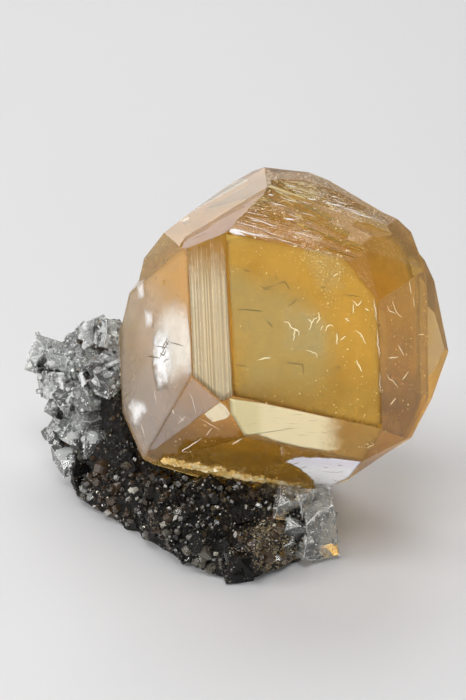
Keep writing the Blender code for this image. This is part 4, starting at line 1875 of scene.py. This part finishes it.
@dataclass(frozen=True)
class SmallCrystals:
    """A crust of small crystals on a part of the frame.

    A size is small (large / small)^(r^small_share), with r random. Patch is the length of the patches
    that the crystals keep to where patchiness is above gather. Near is a spot and how far round it they
    stand, hollow how sunken the ground has to be there, and sink how deep they are set into it, in mm.
    """

    name: str
    count: int
    sizes: Span
    habit: Habit
    lean: float
    seed: int
    small_share: float = 2.2
    patch: float = 0.0
    gather: float = -1.0
    near: tuple[Spot, float] | None = None
    sink: float = 0.0
    hollow: Span | None = None
    lowest: float = 0.3
    downward: float = -0.75
    golden_room: float = 0.8
    block_room: float = 1.3
    box_room: float = 1.05
    ragged: float = 0.15

    def build(self, ground: Ground, golden: Hull, low: Array, high: Array,
              material: Material) -> Piece:
        """Stand the crystals on the ground, clear of the golden crystal and inside the part's box.

        Args:
            ground: what they stand on.
            golden: the golden crystal's solid.
            low: the part's lowest corner, mm.
            high: its highest corner, mm.
            material: their finish.

        Returns:
            The piece.
        """
        rng, count, bare = np.random.default_rng(self.seed), self.count, BareBlock()
        spots, normals = ground.spots(rng, count)
        small, large = self.sizes
        size = small * (large / small) ** (rng.random(count) ** self.small_share)
        reach = size * self.habit.top
        keep = ((golden.depth(spots) < -reach * self.golden_room) & (spots[:, 2] > self.lowest)
                & (normals[:, 2] > self.downward))
        if self.patch:
            crowd = patchiness(spots, self.patch, self.seed) + rng.normal(0, self.ragged, count)
            keep &= crowd > self.gather
        if self.near:
            room = self.near[1] * rng.uniform(0.6, 1.0, count)
            keep &= np.linalg.norm(spots - self.near[0], axis=1) < room
        sunken = np.zeros(count)
        if self.hollow:
            sunken = hollowness(spots, normals, ground, rng)
            keep &= (sunken >= self.hollow[0]) & (sunken <= self.hollow[1])
        keep &= np.abs(spots - np.array(bare.middle)).max(1) > bare.half + self.block_room * size
        spots, normals, size, reach = spots[keep], normals[keep], size[keep], reach[keep]
        room = np.maximum(reach, size)[:, None] * self.box_room
        spots = np.clip(spots - self.sink * normals, low + room, high - room)
        turns = leaning_turns(rng, normals, self.lean)
        sizes = size[:, None] * rng.uniform((0.55, 0.55, 0.75), (0.9, 0.9, 1.0), (len(size), 3))
        habit = self.habit.shape()
        points, quads = copies(habit, spots, turns, sizes)
        numbers = {"shade": rng.random(len(size)), "hollow": sunken[keep]}
        piece = mesh_object(self.name, points * MM, quads, material,
                            {key: np.repeat(values, len(habit[0])) for key, values in numbers.items()})
        LOG.info("%s: %d crystals, %d faces", self.name, len(size), len(quads))
        return piece


# The studio


@dataclass(frozen=True)
class Lamp:
    """A soft box aimed at the specimen.

    Azimuth is 0 degrees at the camera's side and 90 at the viewer's right, height is in degrees above the
    horizon. The distance and the box's two sides are in metres and the power is in watts.
    """

    name: str
    azimuth: float
    height: float
    distance: float
    size: Span
    power: float
    colour: Colour = (1.0, 1.0, 1.0)
    aim: Spot = (0.005, 0.0, 0.03)

    def build(self) -> None:
        """Place the lamp."""
        data = bpy.data.lights.new(self.name, "AREA")
        data.shape, data.size, data.size_y = "RECTANGLE", *self.size
        data.energy, data.color = self.power, self.colour
        a, e = math.radians(self.azimuth), math.radians(self.height)
        out = Vector((math.sin(a) * math.cos(e), -math.cos(a) * math.cos(e), math.sin(e)))
        lamp = bpy.data.objects.new(self.name, data)
        lamp.location = Vector(self.aim) + out * self.distance
        lamp.rotation_euler = (-out).to_track_quat("-Z", "Y").to_euler()
        bpy.context.scene.collection.objects.link(lamp)


LAMPS = (Lamp("key", -86, 24, 0.8, (0.34, 0.42), 3.6, (1.0, 0.98, 0.95)),
         Lamp("top", -10, 68, 0.8, (0.5, 0.5), 3.0), Lamp("low front", 0, 3, 0.75, (0.6, 0.10), 2.4),
         Lamp("right", 100, 22, 0.9, (0.4, 0.4), 0.9, (0.97, 0.98, 1.0)),
         Lamp("rear", -168, 44, 0.9, (0.7, 0.5), 3.6, (1.0, 0.99, 0.97)),
         Lamp("spark", -62, 30, 0.8, (0.10, 0.10), 0.7),
         Lamp("rear right", 159, 38, 0.9, (0.5, 0.4), 0.7, (1.0, 0.97, 0.92)),
         Lamp("rear low", -168, 5, 0.9, (0.5, 0.25), 0.30, (1.0, 0.96, 0.98)))


@dataclass
class Studio:
    """Plain pale floor, soft lamps, the light all round and the camera."""

    view: PhotoView = field(default_factory=PhotoView)
    clip: Span = (0.01, 50.0)
    floor_size: float = 12.0
    floor_tones: tuple[Colour, Colour] = ((0.58, 0.58, 0.59), (0.63, 0.63, 0.64))
    floor_grain: Grain = Grain(0.004)
    floor_rough: float = 0.55
    sky: Colour = (0.80, 0.82, 0.86)
    sky_strength: float = 0.22

    def camera(self) -> None:
        """Place the camera at the photographed angle."""
        data = bpy.data.cameras.new("camera")
        data.lens, data.sensor_width = self.view.lens, self.view.film_height
        data.clip_start, data.clip_end = self.clip
        camera = bpy.data.objects.new("camera", data)
        back = Vector(self.view.back())
        camera.location = (Vector(self.view.target) + back * self.view.distance) * MM
        camera.rotation_euler = (-back).to_track_quat("-Z", "Y").to_euler()
        bpy.context.scene.collection.objects.link(camera)
        bpy.context.scene.camera = camera

    def floor(self) -> None:
        """A large pale floor."""
        g = Graph("pale floor")
        tone = g.noise(g.place(), self.floor_grain)
        surface = g.shader(Base_Color=g.mix(tone, *self.floor_tones), Roughness=self.floor_rough)
        points = np.array([[-1, -1, 0], [1, -1, 0], [1, 1, 0], [-1, 1, 0]]) * (self.floor_size / 2)
        floor = mesh_object("floor", points, np.array([[0, 1, 2, 3]]), g.finish(surface))
        floor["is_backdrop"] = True

    def build(self) -> None:
        """Set up the floor, the lamps, the surrounding light and the camera."""
        self.camera()
        self.floor()
        for lamp in LAMPS:
            lamp.build()
        world = bpy.data.worlds.new("surroundings")
        world.use_nodes = True
        world.node_tree.nodes["Background"].inputs["Color"].default_value = (*self.sky, 1.0)
        world.node_tree.nodes["Background"].inputs["Strength"].default_value = self.sky_strength
        bpy.context.scene.world = world
        bpy.context.scene.view_settings.view_transform = "Standard"


# blocks that catch the light: how far right and how high each stands and its edge, in mm, and its turn
BRIGHT_BLOCKS = ((-2.5, 8, 0.8, 20), (-4.5, 5.5, 0.6, 50), (-2, 3.5, 0.7, 10), (-10.5, 5, 0.9, 35),
                 (2, 8, 0.4, 70), (-3, 4, 0.4, 15), (4.5, 6.5, 0.4, 30), (-6.5, 2.5, 0.4, 45),
                 (-15, 5.5, 0.5, 25), (-13, 3.5, 0.4, 80))


@dataclass(frozen=True)
class Kind:
    """One kind of small crystal in a clear group.

    It has its share of the group's count, its sizes in mm, how strongly it keeps to patches, how sunken
    the ground is where it stands, its shape, how far it leans and how deep it is set into the ground.
    """

    name: str
    share: float
    sizes: Span
    gather: float
    hollow: Span
    habit: Habit = Habit(1.0, 0.6)
    lean: float = 0.7
    sink: float = 0.0


KINDS = (Kind("glassy", 0.30, (0.6, 1.7), -0.3, (0.0, 0.60)),
         Kind("milky", 0.40, (0.3, 0.9), -0.1, (0.0, 0.35)),
         Kind("frost", 9.0, (0.06, 0.22), -0.4, (0.0, 0.03)),
         Kind("dark", 4.0, (0.3, 0.9), -1.0, (0.36, 1.0)),
         Kind("cracks", 0.4, (0.4, 1.4), -1.0, (0.0, 1.0), Habit(0.05, 0.02), 1.5, 0.8))


@dataclass(frozen=True)
class ClearGroup:
    """A group of clear blocks: its part, its seed, the count and scale of its small crystals, its finish."""

    part: str
    seed: int
    count: int
    scale: float
    edge_width: float
    glass: IceGlass
    least_edge: float = 1.0
    small_share: float = 1.6
    patch: float = 4.0


CLEAR_GROUPS = (ClearGroup("clear_crystals_left", 11, 330, 1.0, 0.07, IceGlass("clear crystals left")),
                ClearGroup("clear_crystals_right", 12, 110, 0.5, 0.12,
                           IceGlass("clear crystals right", 0.93, (1.0, 1.0, 0.96), (0.96, 0.97, 0.90), 0.01,
                                    0.05, 0.012)))


@dataclass
class Specimen:
    """The whole specimen, built round the frame's parts."""

    nodes: dict[str, Piece]
    low: Array
    high: Array
    axes: CrystalAxes = field(default_factory=CrystalAxes)

    def build(self) -> None:
        """Build the pieces in order."""
        golden = GoldenCrystal(self.axes).build(self.nodes["golden_calcite"])
        LOG.info("%s: %d faces", golden.name, len(golden.data.polygons))
        Inclusions(self.axes).build()
        self.rock()
        self.clear_groups()

    def rock(self) -> None:
        """Dress the dark rock and cover it with small crystals."""
        node = self.nodes["dark_matrix"]
        node.data.materials.clear()
        node.data.materials.append(DarkRock().material())
        ground, hull = Ground.of(node), Hull.of(self.axes)
        dark, grains = DarkCrystal().material(), DarkCrystal("dark grains", sugary=0.9).material()
        smoky = SMOKY_GLASS.material()
        sugar = DarkCrystal("sugar grains", (0.03, 0.028, 0.020), (0.12, 0.10, 0.065), (0.36, 0.33, 0.24),
                            (0.85, 0.82, 0.70)).material()
        sand = DarkCrystal("brown sugar grains", (0.06, 0.045, 0.025), (0.20, 0.15, 0.08), (0.42, 0.35, 0.22),
                           (0.80, 0.74, 0.58)).material()
        blunt, steep = Habit(1.0, 0.7), Habit(1.0, 0.8)
        crusts = (
            (SmallCrystals("dark_blocks", 150, (0.9, 1.9), blunt, 0.7, 3), dark),
            (SmallCrystals("dark_crystals", 1300, (0.4, 1.0), Habit(), 0.8, 5), dark),
            (SmallCrystals("smoky_crystals", 1300, (0.3, 1.1), blunt, 0.8, 6, 1.8, 9.0, -0.1), smoky),
            (SmallCrystals("dark_grains", 9000, (0.12, 0.42), Habit(1.2, 1.0), 0.9, 4, 1.4, 5.0, -0.1),
             grains),
            (SmallCrystals("sugar_grains", 14000, (0.07, 0.22), steep, 0.9, 9, 1.5, 5.0, 0.05), sugar),
            (SmallCrystals("brown_grains", 90000, (0.07, 0.24), steep, 0.9, 10, 1.4, 3.0, -0.6,
                           ((6.5, -18.5, 4.0), 6.0)), sand))
        pieces = [crust.build(ground, hull, self.low, self.high, finish) for crust, finish in crusts]
        pieces.append(self.bright_blocks(ground))
        for piece in pieces:
            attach(piece, "root")

    def bright_blocks(self, ground: Ground) -> Piece:
        """Small flat-faced blocks that catch the light, each on the front ground nearest to its place.

        Args:
            ground: the rock's surface.

        Returns:
            The piece.
        """
        rows = np.array(BRIGHT_BLOCKS)
        halfway = unit(np.array([-0.43, -0.74, 0.52]))
        spots, normals = ground.spots(np.random.default_rng(7), 6000)
        spots = spots[(normals @ halfway > 0.3) & (spots[:, 1] < -6.0)]
        apart = np.abs(spots[None, :, [0, 2]] - rows[:, None, :2]).sum(2)
        spots = spots[apart.argmin(1)] + 0.25 * halfway
        t = np.radians(rows[:, 3])[:, None]
        level = unit(np.cross((0.0, 0.0, 1.0), halfway))
        side = np.cos(t) * level + np.sin(t) * np.cross(halfway, level)
        turns = np.stack([side, np.cross(halfway, side), np.broadcast_to(halfway, side.shape)], axis=2)
        points, quads = copies(BOX, spots, turns, rows[:, 2:3] * np.array([1.0, 0.8, 0.9]))
        material = replace(SMOKY_GLASS, clearness=0.5).material()
        return mesh_object("bright_blocks", points * MM, quads, material)

    def clear_groups(self) -> None:
        """Dress the clear blocks and add the small clear crystals between them."""
        hull = Hull.of(self.axes)
        dark = DarkCrystal().material()
        bright, dull = (1.0, 1.0, 0.99), (0.95, 0.96, 0.95)
        milky = IceGlass("milky calcite", 0.5, bright, dull, 0.20, 0.45).material()
        frost = CrackFill((0.93, 0.95, 0.94), 0.3).material("frosty rims")
        etched = IceGlass("etched calcite edges", 0.8, bright, dull, 0.25, 0.50).material()
        for group in CLEAR_GROUPS:
            node, clear = self.nodes[group.part], group.glass.material()
            blocks = self.clear_blocks(group, clear, etched)
            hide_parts(group.part)
            finishes = {"glassy": clear, "dark": dark, "frost": frost}
            pieces = [blocks]
            for kind in KINDS:
                crust = SmallCrystals(f"{group.part.replace('crystals', 'small')}_{kind.name}",
                                      int(group.count * kind.share),
                                      (kind.sizes[0] * group.scale, kind.sizes[1] * group.scale), kind.habit,
                                      kind.lean, group.seed + len(pieces), group.small_share, group.patch,
                                      kind.gather, sink=kind.sink, hollow=kind.hollow)
                finish = finishes.get(kind.name, milky)
                pieces.append(crust.build(Ground.of(node), hull, self.low, self.high, finish))
            for piece in pieces:
                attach(piece, "root")

    def clear_blocks(self, group: ClearGroup, clear: Material,
                     etched: Material) -> Piece:
        """A group's large blocks with narrow etched edges, marked where they lie in a hollow for the painted
        shade of their finish.

        Args:
            group: the group.
            clear: the finish of the faces.
            etched: the finish of the edges.

        Returns:
            The piece.
        """
        node = self.nodes[group.part]
        blocks = merged_copy(node, group.part.replace("crystals", "blocks"))
        blocks.data.materials.clear()
        for material in (clear, etched):
            blocks.data.materials.append(material)
        soften_edges(blocks, group.edge_width, group.least_edge, rim=1)
        corners = np.array([v.co for v in blocks.data.vertices]) / MM
        ways = np.array([v.normal for v in blocks.data.vertices])
        sunken = hollowness(corners, ways, Ground.of(node), np.random.default_rng(group.seed))
        marks = blocks.data.attributes.new("hollow", "FLOAT", "POINT")
        marks.data.foreach_set("value", sunken.astype(np.float32))
        LOG.info("%s: %d faces", blocks.name, len(blocks.data.polygons))
        return blocks


def main() -> None:
    """Load the frame, build the specimen and the studio, and note the sizes."""
    logging.basicConfig(level=logging.INFO, format="%(name)s: %(message)s")
    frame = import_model()
    before = [list(corner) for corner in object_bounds()]
    Studio().build()
    Specimen(frame["nodes"], np.array(before[0]) / MM, np.array(before[1]) / MM).build()


if __name__ == "__main__":
    main()
